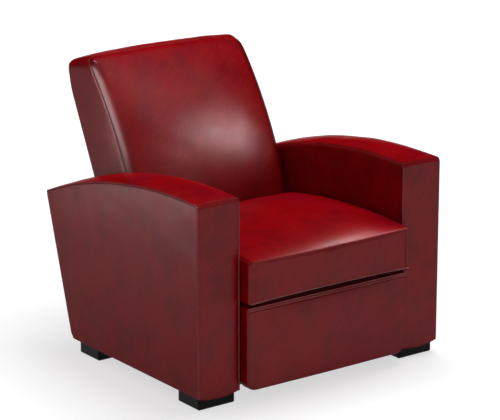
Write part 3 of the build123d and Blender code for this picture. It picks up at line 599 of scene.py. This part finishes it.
def ramp_node(nodes, links, value, stops):
    """A colour ramp with a (place, colour) pair for each stop."""
    ramp = nodes.new("ShaderNodeValToRGB")
    elements = ramp.color_ramp.elements
    while len(elements) < len(stops):
        elements.new(0.5)
    for element, (place, colour) in zip(elements, stops):
        element.position = place
        element.color = (*colour, 1)
    links.new(value, ramp.inputs["Fac"])
    return ramp.outputs["Color"]


def mix_node(nodes, links, factor, first, second):
    """A mix of two colours, each a socket or a colour."""
    mix = nodes.new("ShaderNodeMix")
    mix.data_type = "RGBA"
    for socket, value in (("Factor", factor), ("A", first), ("B", second)):
        kind = "VALUE" if socket == "Factor" else "RGBA"
        target = [s for s in mix.inputs if s.name == socket and s.type == kind][0]
        if isinstance(value, tuple):
            target.default_value = (*value, 1)
        else:
            links.new(value, target)
    return [s for s in mix.outputs if s.type == "RGBA"][0]


def math_node(nodes, links, operation, first, second):
    """A calculation with two values, each a socket or a number."""
    node = nodes.new("ShaderNodeMath")
    node.operation = operation
    for socket, value in zip(node.inputs, (first, second)):
        if isinstance(value, float):
            socket.default_value = value
        else:
            links.new(value, socket)
    return node.outputs[0]


def bump_node(nodes, links, height, strength, distance, below=None):
    """Relief from a height, on top of any relief below it."""
    bump = nodes.new("ShaderNodeBump")
    bump.inputs["Strength"].default_value = strength
    bump.inputs["Distance"].default_value = distance
    links.new(height, bump.inputs["Height"])
    if below is not None:
        links.new(below, bump.inputs["Normal"])
    return bump.outputs["Normal"]


# ------------------------------------------------------------------ leather
# WAX_LEVELS are (turn away from the eye, specular level) pairs: the wax shines where the hide faces the eye.
HIDE_RED = (0.262, 0.0006, 0.0034)
HIDE_DARK = (0.175, 0.0006, 0.0030)
HIDE_VIOLET = (0.215, 0.0006, 0.015)
HIDE_WARM = (0.33, 0.010, 0.0022)
HIDE_COOL = (0.15, 0.0006, 0.0036)
# Near-black red that the hide is mixed towards as painted shade, on the back's rolled side edges.
HIDE_PAINTED_SHADE = (0.055, 0.0006, 0.002)
WAX_LEVELS = ((0.16, 0.30), (0.25, 0.25), (0.43, 0.085), (0.72, 0.012))
WAX_TINT = (1.0, 0.93, 0.93, 1)
SHADE_ATTRIBUTE = "painted_edge_shade"
CLOUD_RATE = 9.0
VIOLET_RATE = 5.1
WEAR_RATE = 16.0
BRUSH_RATES = (210.0, 24.0, 24.0)
ARM_BRUSHING = (0.44, 0.78, -0.44)
BACK_BRUSHING = (0.55, 0.05, -0.75)
PEBBLE_RATE = 620.0
PEBBLE_DEPTH = 0.0004
BRUSH_STRENGTH = 0.08
BRUSH_DEPTH = 0.0006
BLACK = grey(0.0)
HALF = grey(0.5)


def layered_position(nodes, links, position, slant):
    """Coordinates squeezed along one slanting direction, so that any cut shows slanting streaks."""
    first = Vector(slant).normalized()
    second = first.cross(Vector((0, 0, 1))).normalized()
    axes = (first, second, first.cross(second))
    combine = nodes.new("ShaderNodeCombineXYZ")
    for axis, rate, socket in zip(axes, BRUSH_RATES, ("X", "Y", "Z")):
        dot = nodes.new("ShaderNodeVectorMath")
        dot.operation = "DOT_PRODUCT"
        dot.inputs[1].default_value = tuple(rate * a for a in axis)
        links.new(position, dot.inputs[0])
        links.new(dot.outputs["Value"], combine.inputs[socket])
    return combine.outputs["Vector"]


def leather(
    name, red=HIDE_RED, dark=HIDE_DARK, roughness=0.34, grain=0.10, specular=1.0, slant=ARM_BRUSHING,
):
    """Waxed aniline hide: red with darker clouds, slanting brush marks and a fine pebble grain, with painted
    shade mixed in where a mesh carries the shade attribute.
    """
    material, nodes, links, shader = node_material(name)
    position = object_position(nodes)

    clouds = noise_node(nodes, links, position, CLOUD_RATE, detail=3.0, roughness=0.55)
    plain = ramp_node(nodes, links, clouds, [(0.30, dark), (0.58, red)])
    tint = noise_node(nodes, links, position, VIOLET_RATE)
    violet = ramp_node(nodes, links, tint, [(0.50, BLACK), (0.70, HALF)])
    tinted = mix_node(nodes, links, violet, plain, HIDE_VIOLET)
    layers = layered_position(nodes, links, position, slant)
    streaks = noise_node(nodes, links, layers, 1.0, detail=3.0, roughness=0.6)
    warm = ramp_node(nodes, links, streaks, [(0.50, BLACK), (0.74, HALF)])
    streaked = mix_node(nodes, links, warm, tinted, HIDE_WARM)
    cool = ramp_node(nodes, links, streaks, [(0.28, HALF), (0.48, BLACK)])
    brushed_colour = mix_node(nodes, links, cool, streaked, HIDE_COOL)
    # Painted shade: the colour is darkened towards near-black red by the mesh's shade attribute.
    edge = nodes.new("ShaderNodeAttribute")
    edge.attribute_name = SHADE_ATTRIBUTE
    final = mix_node(nodes, links, edge.outputs["Fac"], brushed_colour, HIDE_PAINTED_SHADE)
    links.new(final, shader.inputs["Base Color"])

    angle = nodes.new("ShaderNodeLayerWeight").outputs["Facing"]
    sheen = [(place, grey(specular * level)) for place, level in WAX_LEVELS]
    links.new(ramp_node(nodes, links, angle, sheen), shader.inputs["Specular IOR Level"])
    shader.inputs["Specular Tint"].default_value = WAX_TINT
    wear = noise_node(nodes, links, position, WEAR_RATE, detail=4.0)
    gloss = [(0.3, grey(roughness - 0.03)), (0.75, grey(roughness + 0.05))]
    links.new(ramp_node(nodes, links, wear, gloss), shader.inputs["Roughness"])

    cells = nodes.new("ShaderNodeTexVoronoi")
    cells.feature = "SMOOTH_F1"
    cells.inputs["Scale"].default_value = PEBBLE_RATE
    links.new(position, cells.inputs["Vector"])
    pebble = bump_node(nodes, links, cells.outputs["Distance"], grain, PEBBLE_DEPTH)
    brushed = bump_node(nodes, links, streaks, BRUSH_STRENGTH, BRUSH_DEPTH, below=pebble)
    links.new(brushed, shader.inputs["Normal"])
    return material


HIDE = leather("red_hide")
BACK_HIDE = leather("red_back_hide", slant=BACK_BRUSHING)
WELT_HIDE = leather(
    "welt_hide", red=(0.22, 0.014, 0.018), dark=(0.17, 0.010, 0.014), grain=0.08, specular=1.6,
)
# Paler, greyer hide for the low piping of the seat and the footrest: painted highlight, so that the piping
# reads as lit lines.
PAINTED_HIGHLIGHT_HIDE = leather("painted_highlight_hide", red=(0.38, 0.11, 0.11), dark=(0.32, 0.09, 0.09), specular=1.4)


# ------------------------------------------------------------------ thread and the other finishes
def thread():
    """Twisted waxed thread."""
    material, nodes, links, shader = node_material("waxed_thread")
    wave = nodes.new("ShaderNodeTexWave")
    wave.inputs["Scale"].default_value = 900.0
    wave.inputs["Distortion"].default_value = 1.5
    links.new(object_position(nodes), wave.inputs["Vector"])
    twist = [(0.2, (0.10, 0.006, 0.008)), (0.8, (0.24, 0.02, 0.02))]
    links.new(ramp_node(nodes, links, wave.outputs["Fac"], twist), shader.inputs["Base Color"])
    shader.inputs["Roughness"].default_value = 0.5
    links.new(bump_node(nodes, links, wave.outputs["Fac"], 0.4, 0.0002), shader.inputs["Normal"])
    return material


def surface(
    name, low, high, scale, roughness, bump, metallic=0.0, stretch=(1, 1, 1), detail=3.0, specular=0.5,
):
    """A finish whose colour, gloss and relief all vary with one stretched noise."""
    material, nodes, links, shader = node_material(name)
    mapping = nodes.new("ShaderNodeMapping")
    mapping.inputs["Scale"].default_value = stretch
    links.new(object_position(nodes), mapping.inputs["Vector"])
    value = noise_node(nodes, links, mapping.outputs["Vector"], scale, detail)
    links.new(ramp_node(nodes, links, value, [(0.3, low), (0.7, high)]), shader.inputs["Base Color"])
    gloss = [(0.25, grey(roughness - 0.06)), (0.75, grey(roughness + 0.06))]
    links.new(ramp_node(nodes, links, value, gloss), shader.inputs["Roughness"])
    shader.inputs["Metallic"].default_value = metallic
    shader.inputs["Specular IOR Level"].default_value = specular
    links.new(bump_node(nodes, links, value, bump, 0.0006), shader.inputs["Normal"])
    return material


THREAD = thread()
SLOT_MATERIALS = {
    "feet": surface(
        "black_lacquer", (0.0028, 0.0026, 0.0025), (0.006, 0.0055, 0.005), scale=60, roughness=0.32,
        bump=0.05, stretch=(1, 1, 0.12), specular=0.08,
    ),
    "timber": surface(
        "planed_beech", (0.40, 0.25, 0.13), (0.58, 0.40, 0.23), scale=40, roughness=0.6, bump=0.25,
        stretch=(0.12, 1, 1), detail=6,
    ),
    "board": surface(
        "stained_ply", (0.014, 0.010, 0.008), (0.034, 0.024, 0.018), scale=30, roughness=0.5, bump=0.2,
        stretch=(0.15, 1, 1), detail=5, specular=0.1,
    ),
    "deck_cloth": surface(
        "woven_deck", (0.030, 0.001, 0.002), (0.060, 0.003, 0.005), scale=900, roughness=0.85, bump=0.5,
        specular=0.1,
    ),
    "foam": surface(
        "cut_foam", (0.62, 0.55, 0.38), (0.80, 0.74, 0.58), scale=500, roughness=0.9, bump=0.6, detail=2,
    ),
    "steel": surface(
        "powder_coat", (0.018, 0.018, 0.019), (0.032, 0.032, 0.034), scale=700, roughness=0.46, bump=0.35,
    ),
    "bright_steel": surface(
        "zinc_plate", (0.48, 0.47, 0.44), (0.66, 0.66, 0.64), scale=120, roughness=0.3, bump=0.1,
        metallic=1.0,
    ),
    "spring_steel": surface(
        "oiled_wire", (0.10, 0.10, 0.11), (0.22, 0.22, 0.23), scale=200, roughness=0.36, bump=0.15,
        metallic=1.0,
    ),
    "plastic": surface(
        "moulded_black", (0.012, 0.012, 0.013), (0.022, 0.022, 0.024), scale=900, roughness=0.48, bump=0.3,
    ),
    "shoe_plastic": surface(
        "white_nylon", (0.66, 0.65, 0.60), (0.78, 0.77, 0.73), scale=300, roughness=0.5, bump=0.15,
    ),
    "switch_plastic": surface(
        "grained_black", (0.014, 0.014, 0.016), (0.03, 0.03, 0.032), scale=1400, roughness=0.42, bump=0.4,
    ),
    "outer_panel": HIDE,
    "pad": HIDE,
    "arm_leather": HIDE,
    "cushion_leather": HIDE,
}

# Each node of the construction gets the finish of its slot.
for part in frame["record"]["subparts"]:
    node = frame["nodes"][part["node"]]
    node.data.materials.clear()
    node.data.materials.append(SLOT_MATERIALS[part["material_slot"]])


# ------------------------------------------------------------------ arms
# u runs from front to rear, v from the foot to the top and w from the inner to the outer side.
ARM_CORNERS = (
    ((ARM_REAR_FOOT + ARM_FOOT_LEAN, ARM_BASE), (-1, 1), ARM_FOOT_ROUND),
    (ARM_FRONT_TOP, (1, -1), ARM_TOP_ROUND),
    (ARM_REAR_TOP, (-1, -1), ARM_REAR_ROUND),
)


def arm_form(side):
    def form(u, v, w):
        top_d, top_h = arc_points(ARM_FRONT_TOP, ARM_ARCH_MIDDLE, ARM_REAR_TOP, u)
        swell = 1 - (2 * w - 1) ** 2
        depth = (1 - v) * u * ARM_REAR_FOOT + v * top_d
        height = (1 - v) * ARM_BASE + v * top_h
        for corner, inward, radius in ARM_CORNERS:
            depth, height = round_corner(depth, height, corner, inward, radius)
        height = height + v * ARM_CROWN * swell
        height = height - ARM_FRONT_BOW * swell * (1 - v) ** ARM_BOW_POWER * np.exp(-u / ARM_BOW_SHARE)
        x = side * (ARM_INNER + w * (ARM_OUTER - ARM_INNER))
        return np.stack([x, ARM_FRONT + depth, height], 1)

    return form


def arm_pillow(points):
    """Height of the arms' top padding: full at the front, thin at the rear."""
    return ARM_PADDING * np.exp((ARM_FRONT - points[..., 1]) / ARM_PADDING_FALL)


ARM_RIMS = {
    ("w1", "v1"): (0.006, 0.0004),
    ("v1", "w1"): (0.003, 0.0010),
    ("w1", "u0"): (0.008, 0.0012),
    ("w1", "u1"): (0.008, 0.0020),
    ("w1", "v0"): (0.006, 0.0),
    ("w0", "v1"): (0.008, 0.0022),
    ("w0", "u0"): (0.004, 0.0018),
    ("w0", "u1"): (0.008, 0.0020),
    ("w0", "v0"): (0.005, 0.0),
    ("u0", "v1"): (0.006, 0.0004),
    ("v1", "u0"): (0.003, 0.0014),
    ("u0", "v0"): (0.008, 0.0),
    ("u1", "v1"): (0.010, 0.0),
    ("u1", "v0"): (0.006, 0.0),
}
ARM_PILLOWS = {
    "w1": (0.003, 8),
    "u0": (0.004, 4),
    "u1": (0.003, 4),
    "v0": (0.0004, 8),
    "v1": (arm_pillow, 2.6),
}

for side, label in ((1, "left"), (-1, "right")):
    arm = Upholstery(arm_form(side), ARM_LENGTHS, ARM_RIMS, ARM_PILLOWS, fixed=("w0", "v0", "u1"))
    arm.soften(amount=0.0012, scale=9.0, seed=3.0 * side)
    piece = upholstered(f"arm_upholstery_{label}", arm, HIDE, "base", "arm_leather")
    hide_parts(f"arm_cover_{label}", f"arm_padding_{label}")
    welt_piece(
        f"arm_welts_{label}",
        [arm.line_round("w1"), chain([arm.line("w0", "v1"), backwards(arm.line("w0", "u1"))])],
        "base", "arm_leather", WELT_HIDE, radius=0.0017, lift=0.0009,
    )
    welt_piece(
        f"arm_front_welt_{label}",
        [arm.line("w0", "u0")],
        "base", "arm_leather", WELT_HIDE, radius=0.0028, lift=0.0022,
    )
    stitch_piece(
        f"arm_stitches_{label}",
        [
            arm.line("v1", "w1", FIRST_ROW),
            arm.line("v1", "w0", FIRST_ROW),
            arm.line("v1", "u0", STITCH_ROW),
            arm.line("w1", "v1", FIRST_ROW),
        ],
        "base", "arm_leather", THREAD,
    )


# ------------------------------------------------------------------ seat cushion
# u runs from the sitter's right to left, v from the underside to the top and w from front to rear.
def seat_form(u, v, w):
    share = 2 * u - 1
    swell = 1 - share**2
    front = SEAT_FRONT - SEAT_BOW * swell
    top_h = arc_points(SEAT_FRONT_TOP, SEAT_SIDE_MIDDLE, SEAT_REAR_TOP, w)[1]
    depth = front + (SEAT_REAR - front) * w
    crown = SEAT_CROWN * swell * np.sin(pi * w)
    base = SEAT_BASE + SEAT_LOW_ARCH * swell**SEAT_ARCH_POWER * np.exp(-(depth - front) / REACH)
    height = base + v * (top_h + crown - base)
    x, depth = round_both_sides(share * SEAT_HALF, depth, SEAT_HALF, SEAT_FRONT, 1, SEAT_CORNER)
    return np.stack([x, ARM_FRONT + depth, height], 1)


SEAT_RIMS = {
    ("v1", "w0"): (0.006, 0.0014),
    ("w0", "v1"): (0.002, 0.0010),
    ("v1", "u0"): (0.012, 0.0020),
    ("v1", "u1"): (0.012, 0.0020),
    ("v1", "w1"): (0.012, 0.0),
    ("v0", "w0"): (0.006, 0.0020),
    ("u0", "w0"): (0.0, 0.0),
    ("u1", "w0"): (0.0, 0.0),
}
SEAT_PILLOWS = {"v1": (0.011, 10), "w0": (0.003, 4), "u0": (0.001, 6), "u1": (0.001, 6)}
SEAT_FURROWS = {("w0", side): (RIM_OFFSETS[BOXING_ROW], BOXING_DEPTH) for side in ("u0", "u1")}

seat = Upholstery(
    seat_form, SEAT_LENGTHS, SEAT_RIMS, SEAT_PILLOWS, fixed=("u0", "u1", "v0", "w1"), furrows=SEAT_FURROWS,
)
seat.soften(amount=0.0012, scale=8.0, seed=11.0)
piece = upholstered("seat_cushion", seat, HIDE, "seat", "cushion_leather")
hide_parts("seat_cushion_cover", "seat_cushion_foam")
welt_piece(
    "seat_cushion_welts",
    [chain([backwards(seat.line("v1", "u0")), seat.line("v1", "w0"), seat.line("v1", "u1")])],
    "seat", "cushion_leather", WELT_HIDE, radius=0.0015, lift=0.0004,
)
# The seat's low piping is given the paler hide, a painted highlight.
welt_piece(
    "seat_low_welt", [seat.line("w0", "v0", PIPING_ROW)], "seat", "cushion_leather", PAINTED_HIGHLIGHT_HIDE, lift=0.0010,
)
stitch_piece(
    "seat_cushion_stitches",
    [
        seat.line("v1", "w0", STITCH_ROW),
        seat.line("w0", "u0", BOXING_ROW),
        seat.line("w0", "u1", BOXING_ROW),
    ],
    "seat", "cushion_leather", THREAD,
)


# ------------------------------------------------------------------ back
# u runs from the sitter's right to left, v from the foot to the top and w from front to rear.
def back_form(u, v, w):
    share = 2 * u - 1
    swell = 1 - share**2
    front_d, front_h = arc_points(BACK_FRONT_FOOT, BACK_FRONT_MIDDLE, BACK_FRONT_TOP, v)
    front_d = front_d - BACK_FACE_CROWN * swell * np.sin(pi * np.clip(v, 0, 1)) ** BACK_CROWN_POWER
    rear_h = BACK_REAR_FOOT[1] + v * (BACK_REAR_TOP[1] - BACK_REAR_FOOT[1])
    depths, heights = zip(BACK_REAR_FOOT, BACK_KNEE, BACK_REAR_TOP)
    rear_d = np.interp(rear_h, heights, depths)
    depth = front_d + w * (rear_d - front_d)
    height = front_h + w * (rear_h - front_h)
    height = height + v**BACK_TOP_POWER * BACK_TOP_CROWN * swell
    top = BACK_FRONT_TOP[1] + w * (BACK_REAR_TOP[1] - BACK_FRONT_TOP[1])
    corner = BACK_CORNER + w * (BACK_REAR_CORNER - BACK_CORNER)
    x, height = round_both_sides(share * BACK_HALF, height, BACK_HALF, top, -1, corner)
    return np.stack([x, ARM_FRONT + depth, height], 1)


def rear_rounding(points):
    """Radius of the back's rear edge: small down the sides and large over the top."""
    rise = np.clip((points[..., 2] - BACK_SHOULDER) / (BACK_REAR_TOP[1] - BACK_SHOULDER), 0, 1)
    return BACK_SIDE_ROUND + (BACK_REAR_ROUND - BACK_SIDE_ROUND) * smoothstep(rise)


BACK_RIMS = {
    ("w0", "v1"): (0.034, 0.0022),
    ("w0", "u0"): (0.032, 0.0022),
    ("w0", "u1"): (0.032, 0.0022),
    ("v1", "w0"): (0.008, 0.0022),
    ("u0", "w0"): (0.005, 0.0016),
    ("u1", "w0"): (0.005, 0.0016),
    ("w0", "v0"): (0.014, 0.0),
    ("w1", "v1"): (rear_rounding, 0.0),
    ("w1", "u0"): (rear_rounding, 0.0),
    ("w1", "u1"): (rear_rounding, 0.0),
    ("u0", "v1"): (0.0, 0.0),
    ("u1", "v1"): (0.0, 0.0),
}
BACK_PILLOWS = {"w0": (0.022, 4), "u0": (0.005, 3), "u1": (0.005, 3), "v1": (0.010, 4)}

back = Upholstery(back_form, BACK_LENGTHS, BACK_RIMS, BACK_PILLOWS, fixed=("w1", "v0"), sunk=("w1",))
back.soften(amount=0.0018, scale=7.0, seed=23.0)
piece = upholstered("back_upholstery", back, BACK_HIDE, "back", "cushion_leather")
# Painted shade darkens the back's face along its rolled sides.
store_painted_edge_shade(piece, back.painted_edge_shade((("w0", "u0"), ("w0", "u1")), BACK_SHADE_REACH))
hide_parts("back_cover", "back_foam")
welt_piece(
    "back_welts", [back.line_round("w0")], "back", "cushion_leather", WELT_HIDE, radius=0.0017, lift=0.0002,
)


# ------------------------------------------------------------------ footrest
# u runs from the sitter's right to left, v from the foot to the top and w from front to rear.
def pad_form(u, v, w):
    share = 2 * u - 1
    swell = 1 - share**2
    x = share * PAD_HALF
    height = PAD_BASE + v * (PAD_TOP - PAD_BASE)
    for way in (-1, 1):
        for edge, up, radius in ((PAD_BASE, 1, PAD_LOW_ROUND), (PAD_TOP, -1, PAD_TOP_ROUND)):
            x, height = round_corner(x, height, (way * PAD_HALF, edge), (-way, up), radius)
    front = PAD_FRONT - PAD_CROWN * swell * np.sin(pi * np.clip(v, 0, 1)) ** PAD_CROWN_POWER
    depth = front + w * (PAD_REAR - front)
    return np.stack([x, ARM_FRONT + depth, height], 1)


PAD_RIMS = {
    ("w0", "v1"): (0.006, 0.0),
    ("w0", "v0"): (0.010, 0.0),
    ("w0", "u0"): (0.008, 0.0),
    ("w0", "u1"): (0.008, 0.0),
    ("u0", "v0"): (0.0, 0.0),
    ("u1", "v0"): (0.0, 0.0),
    ("u0", "v1"): (0.0, 0.0),
    ("u1", "v1"): (0.0, 0.0),
}
PAD_PILLOWS = {"w0": (0.004, 8)}
PAD_FURROWS = {("w0", "v1"): (RIM_OFFSETS[ROLL_ROW], ROLL_DEPTH)}

pad = Upholstery(
    pad_form, PAD_LENGTHS, PAD_RIMS, PAD_PILLOWS, fixed=("u0", "u1", "v0", "v1", "w1"), furrows=PAD_FURROWS,
)
pad.soften(amount=0.0012, scale=8.0, seed=31.0)
piece = upholstered("footrest_upholstery", pad, HIDE, "footrest", "pad")
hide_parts("footrest_pad")
# The footrest's piping is given the paler hide, a painted highlight.
welt_piece(
    "footrest_piping",
    [pad.line("w0", "v1", PIPING_ROW), pad.line("w0", "v1", ROLL_ROW)],
    "footrest", "pad", PAINTED_HIGHLIGHT_HIDE, radius=0.0020, lift=0.0010,
)
stitch_piece("footrest_stitches", [pad.line("w0", "v1", ROLL_STITCH_ROW)], "footrest", "pad", THREAD)


# ------------------------------------------------------------------ outer panel of the back
# u runs from the sitter's right to left, v from the foot to the top and w from front to rear.
def panel_form(u, v, w):
    share = 2 * u - 1
    height = PANEL_BASE + v * (PANEL_TOP - PANEL_BASE)
    upper = (BACK_REAR_TOP[0] - BACK_KNEE[0]) / (BACK_REAR_TOP[1] - BACK_KNEE[1])
    lower = (BACK_KNEE[0] - BACK_REAR_FOOT[0]) / (BACK_KNEE[1] - BACK_REAR_FOOT[1])
    outer = BACK_KNEE[0] + (height - BACK_KNEE[1]) * np.where(height > BACK_KNEE[1], upper, lower)
    depth = outer - PANEL_THICK * (1 - w)
    return np.stack([share * PANEL_HALF, ARM_FRONT + depth, height], 1)


PANEL_RIMS = {("w1", side): (0.005, 0.0) for side in ("v1", "v0", "u0", "u1")}
PANEL_PILLOWS = {"w1": (0.003, 8)}

panel = Upholstery(panel_form, PANEL_LENGTHS, PANEL_RIMS, PANEL_PILLOWS, default_rim=(0.0, 0.0))
panel.soften(amount=0.0008, scale=8.0, seed=41.0)
piece = upholstered("back_outer_hide", panel, HIDE, "back", "outer_panel")
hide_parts("back_outer_panel")
welt_piece("back_outer_welts", [panel.line_round("w1")], "back", "outer_panel", WELT_HIDE)


# ------------------------------------------------------------------ floor and backdrop
# The glows are (distance, level) pairs. The backdrop's stops go by the height of the ray: it is white up to
# the floor's edge and a little over it, and dark above, where it would grey the hide's reflections.
FLOOR_HALF = 30.0
FLOOR_GREY = 0.5
GLOW_SPAN = 10.0
NEAR_GLOW = (1.2, 0.62)
FAR_GLOW = (6.0, 0.95)
AMBIENT = 0.30
BACKDROP = [(0.015, grey(1.0)), (0.05, BLACK)]


def seen_rays(nodes, links):
    """1 for camera, glossy and transmission rays."""
    path = nodes.new("ShaderNodeLightPath")
    total = path.outputs["Is Camera Ray"]
    for name in ("Is Glossy Ray", "Is Transmission Ray"):
        total = math_node(nodes, links, "MAXIMUM", total, path.outputs[name])
    return total


def floor_finish():
    """Matt pale floor that glows for the rays that see it, more so further away."""
    material, nodes, links, shader = node_material("pale_floor")
    shader.inputs["Base Color"].default_value = (*grey(FLOOR_GREY), 1)
    shader.inputs["Roughness"].default_value = 0.9
    shader.inputs["Specular IOR Level"].default_value = 0.0
    distance = nodes.new("ShaderNodeVectorMath")
    distance.operation = "LENGTH"
    links.new(object_position(nodes), distance.inputs[0])
    away = math_node(nodes, links, "MULTIPLY", distance.outputs["Value"], 1 / GLOW_SPAN)
    levels = [(place / GLOW_SPAN, grey(level)) for place, level in (NEAR_GLOW, FAR_GLOW)]
    share = ramp_node(nodes, links, away, levels)
    shader.inputs["Emission Color"].default_value = (1, 1, 1, 1)
    glow = math_node(nodes, links, "MULTIPLY", seen_rays(nodes, links), share)
    links.new(glow, shader.inputs["Emission Strength"])
    return material


corners = [(x * FLOOR_HALF, y * FLOOR_HALF, 0) for x, y in ((-1, -1), (1, -1), (1, 1), (-1, 1))]
floor_mesh = bpy.data.meshes.new("floor")
floor_mesh.from_pydata(corners, [], [(0, 1, 2, 3)])
floor_mesh.materials.append(floor_finish())
floor = bpy.data.objects.new("floor", floor_mesh)
scene.collection.objects.link(floor)

world = bpy.data.worlds.new("studio")
scene.world = world
world.use_nodes = True
nodes, links = world.node_tree.nodes, world.node_tree.links
split = nodes.new("ShaderNodeSeparateXYZ")
links.new(nodes.new("ShaderNodeTexCoord").outputs["Generated"], split.inputs[0])
backdrop = ramp_node(nodes, links, split.outputs["Z"], BACKDROP)
background_colour = mix_node(nodes, links, seen_rays(nodes, links), grey(AMBIENT), backdrop)
links.new(background_colour, nodes["Background"].inputs["Color"])
nodes["Background"].inputs["Strength"].default_value = 1.0


# ------------------------------------------------------------------ lamps
def softbox(name, place, aim, size, power, diffuse=True, glossy=True, onto=()):
    """An area lamp of a (width, height), turned to its aim, for every piece or only those it falls onto.

    With diffuse off it makes highlights alone, and with glossy off it makes none.
    """
    light = bpy.data.lights.new(name, "AREA")
    light.shape = "RECTANGLE"
    light.size, light.size_y = size
    light.energy = power
    lamp = bpy.data.objects.new(name, light)
    lamp.location = place
    lamp.rotation_euler = (Vector(aim) - lamp.location).to_track_quat("-Z", "Y").to_euler()
    lamp.visible_camera = False
    lamp.visible_diffuse = diffuse
    lamp.visible_glossy = glossy
    if onto:
        lamp.light_linking.receiver_collection = bpy.data.collections.new(name)
        for receiver in onto:
            lamp.light_linking.receiver_collection.objects.link(bpy.data.objects[receiver])
    scene.collection.objects.link(lamp)


CENTRE = (0.0, 0.0, 0.42)
softbox("key", place=(1.0, 0.4, 4.5), aim=CENTRE, size=(2.4, 2.4), power=150, glossy=False)
softbox("front_fill", place=(-2.4, -3.1, 1.4), aim=CENTRE, size=(2.0, 2.0), power=9, glossy=False)
softbox(
    "near_right", place=(0.565, -0.35, 0.98), aim=(0.0, -0.6, 0.4), size=(0.36, 0.36), power=8,
    diffuse=False,
    onto=("back_upholstery", "seat_cushion", "seat_low_welt", "footrest_upholstery", "footrest_piping",
          "arm_upholstery_right", "arm_welts_right"),
)
softbox(
    "high_front", place=(1.68, -1.77, 3.98), aim=(0.0, 0.25, 0.7), size=(1.5, 1.5), power=18,
    diffuse=False,
    onto=("back_upholstery", "back_welts", "seat_cushion", "seat_cushion_welts", "footrest_upholstery",
          "arm_welts_left", "arm_welts_right", "arm_front_welt_left", "arm_front_welt_right"),
)
softbox(
    "left_strip", place=(-1.0, -0.1, 1.4), aim=(-0.28, 0.25, 0.72), size=(0.75, 0.9), power=30,
    diffuse=False,
    onto=("back_upholstery", "back_welts", "arm_upholstery_right", "arm_welts_right"),
)
softbox(
    "left_rear", place=(-1.65, 0.85, 0.35), aim=(-0.45, 0.0, 0.4), size=(1.3, 0.5), power=13,
    diffuse=False,
)

# ------------------------------------------------------------------ camera
CAMERA_PLACE = (-4.3325, ARM_FRONT - 5.5033, 2.5882)
CAMERA_DOWN = 16.31
CAMERA_TURN = 36.45
CAMERA_LENS = 176.84
CAMERA_SENSOR = 36.0
CAMERA_RANGE = 200

camera_data = bpy.data.cameras.new("camera")
camera_data.lens = CAMERA_LENS
camera_data.sensor_width = CAMERA_SENSOR
camera_data.clip_end = CAMERA_RANGE
camera = bpy.data.objects.new("camera", camera_data)
camera.location = CAMERA_PLACE
camera.rotation_euler = (radians(90 - CAMERA_DOWN), 0, radians(-CAMERA_TURN))
scene.collection.objects.link(camera)
scene.camera = camera
scene.view_settings.view_transform = "Standard"
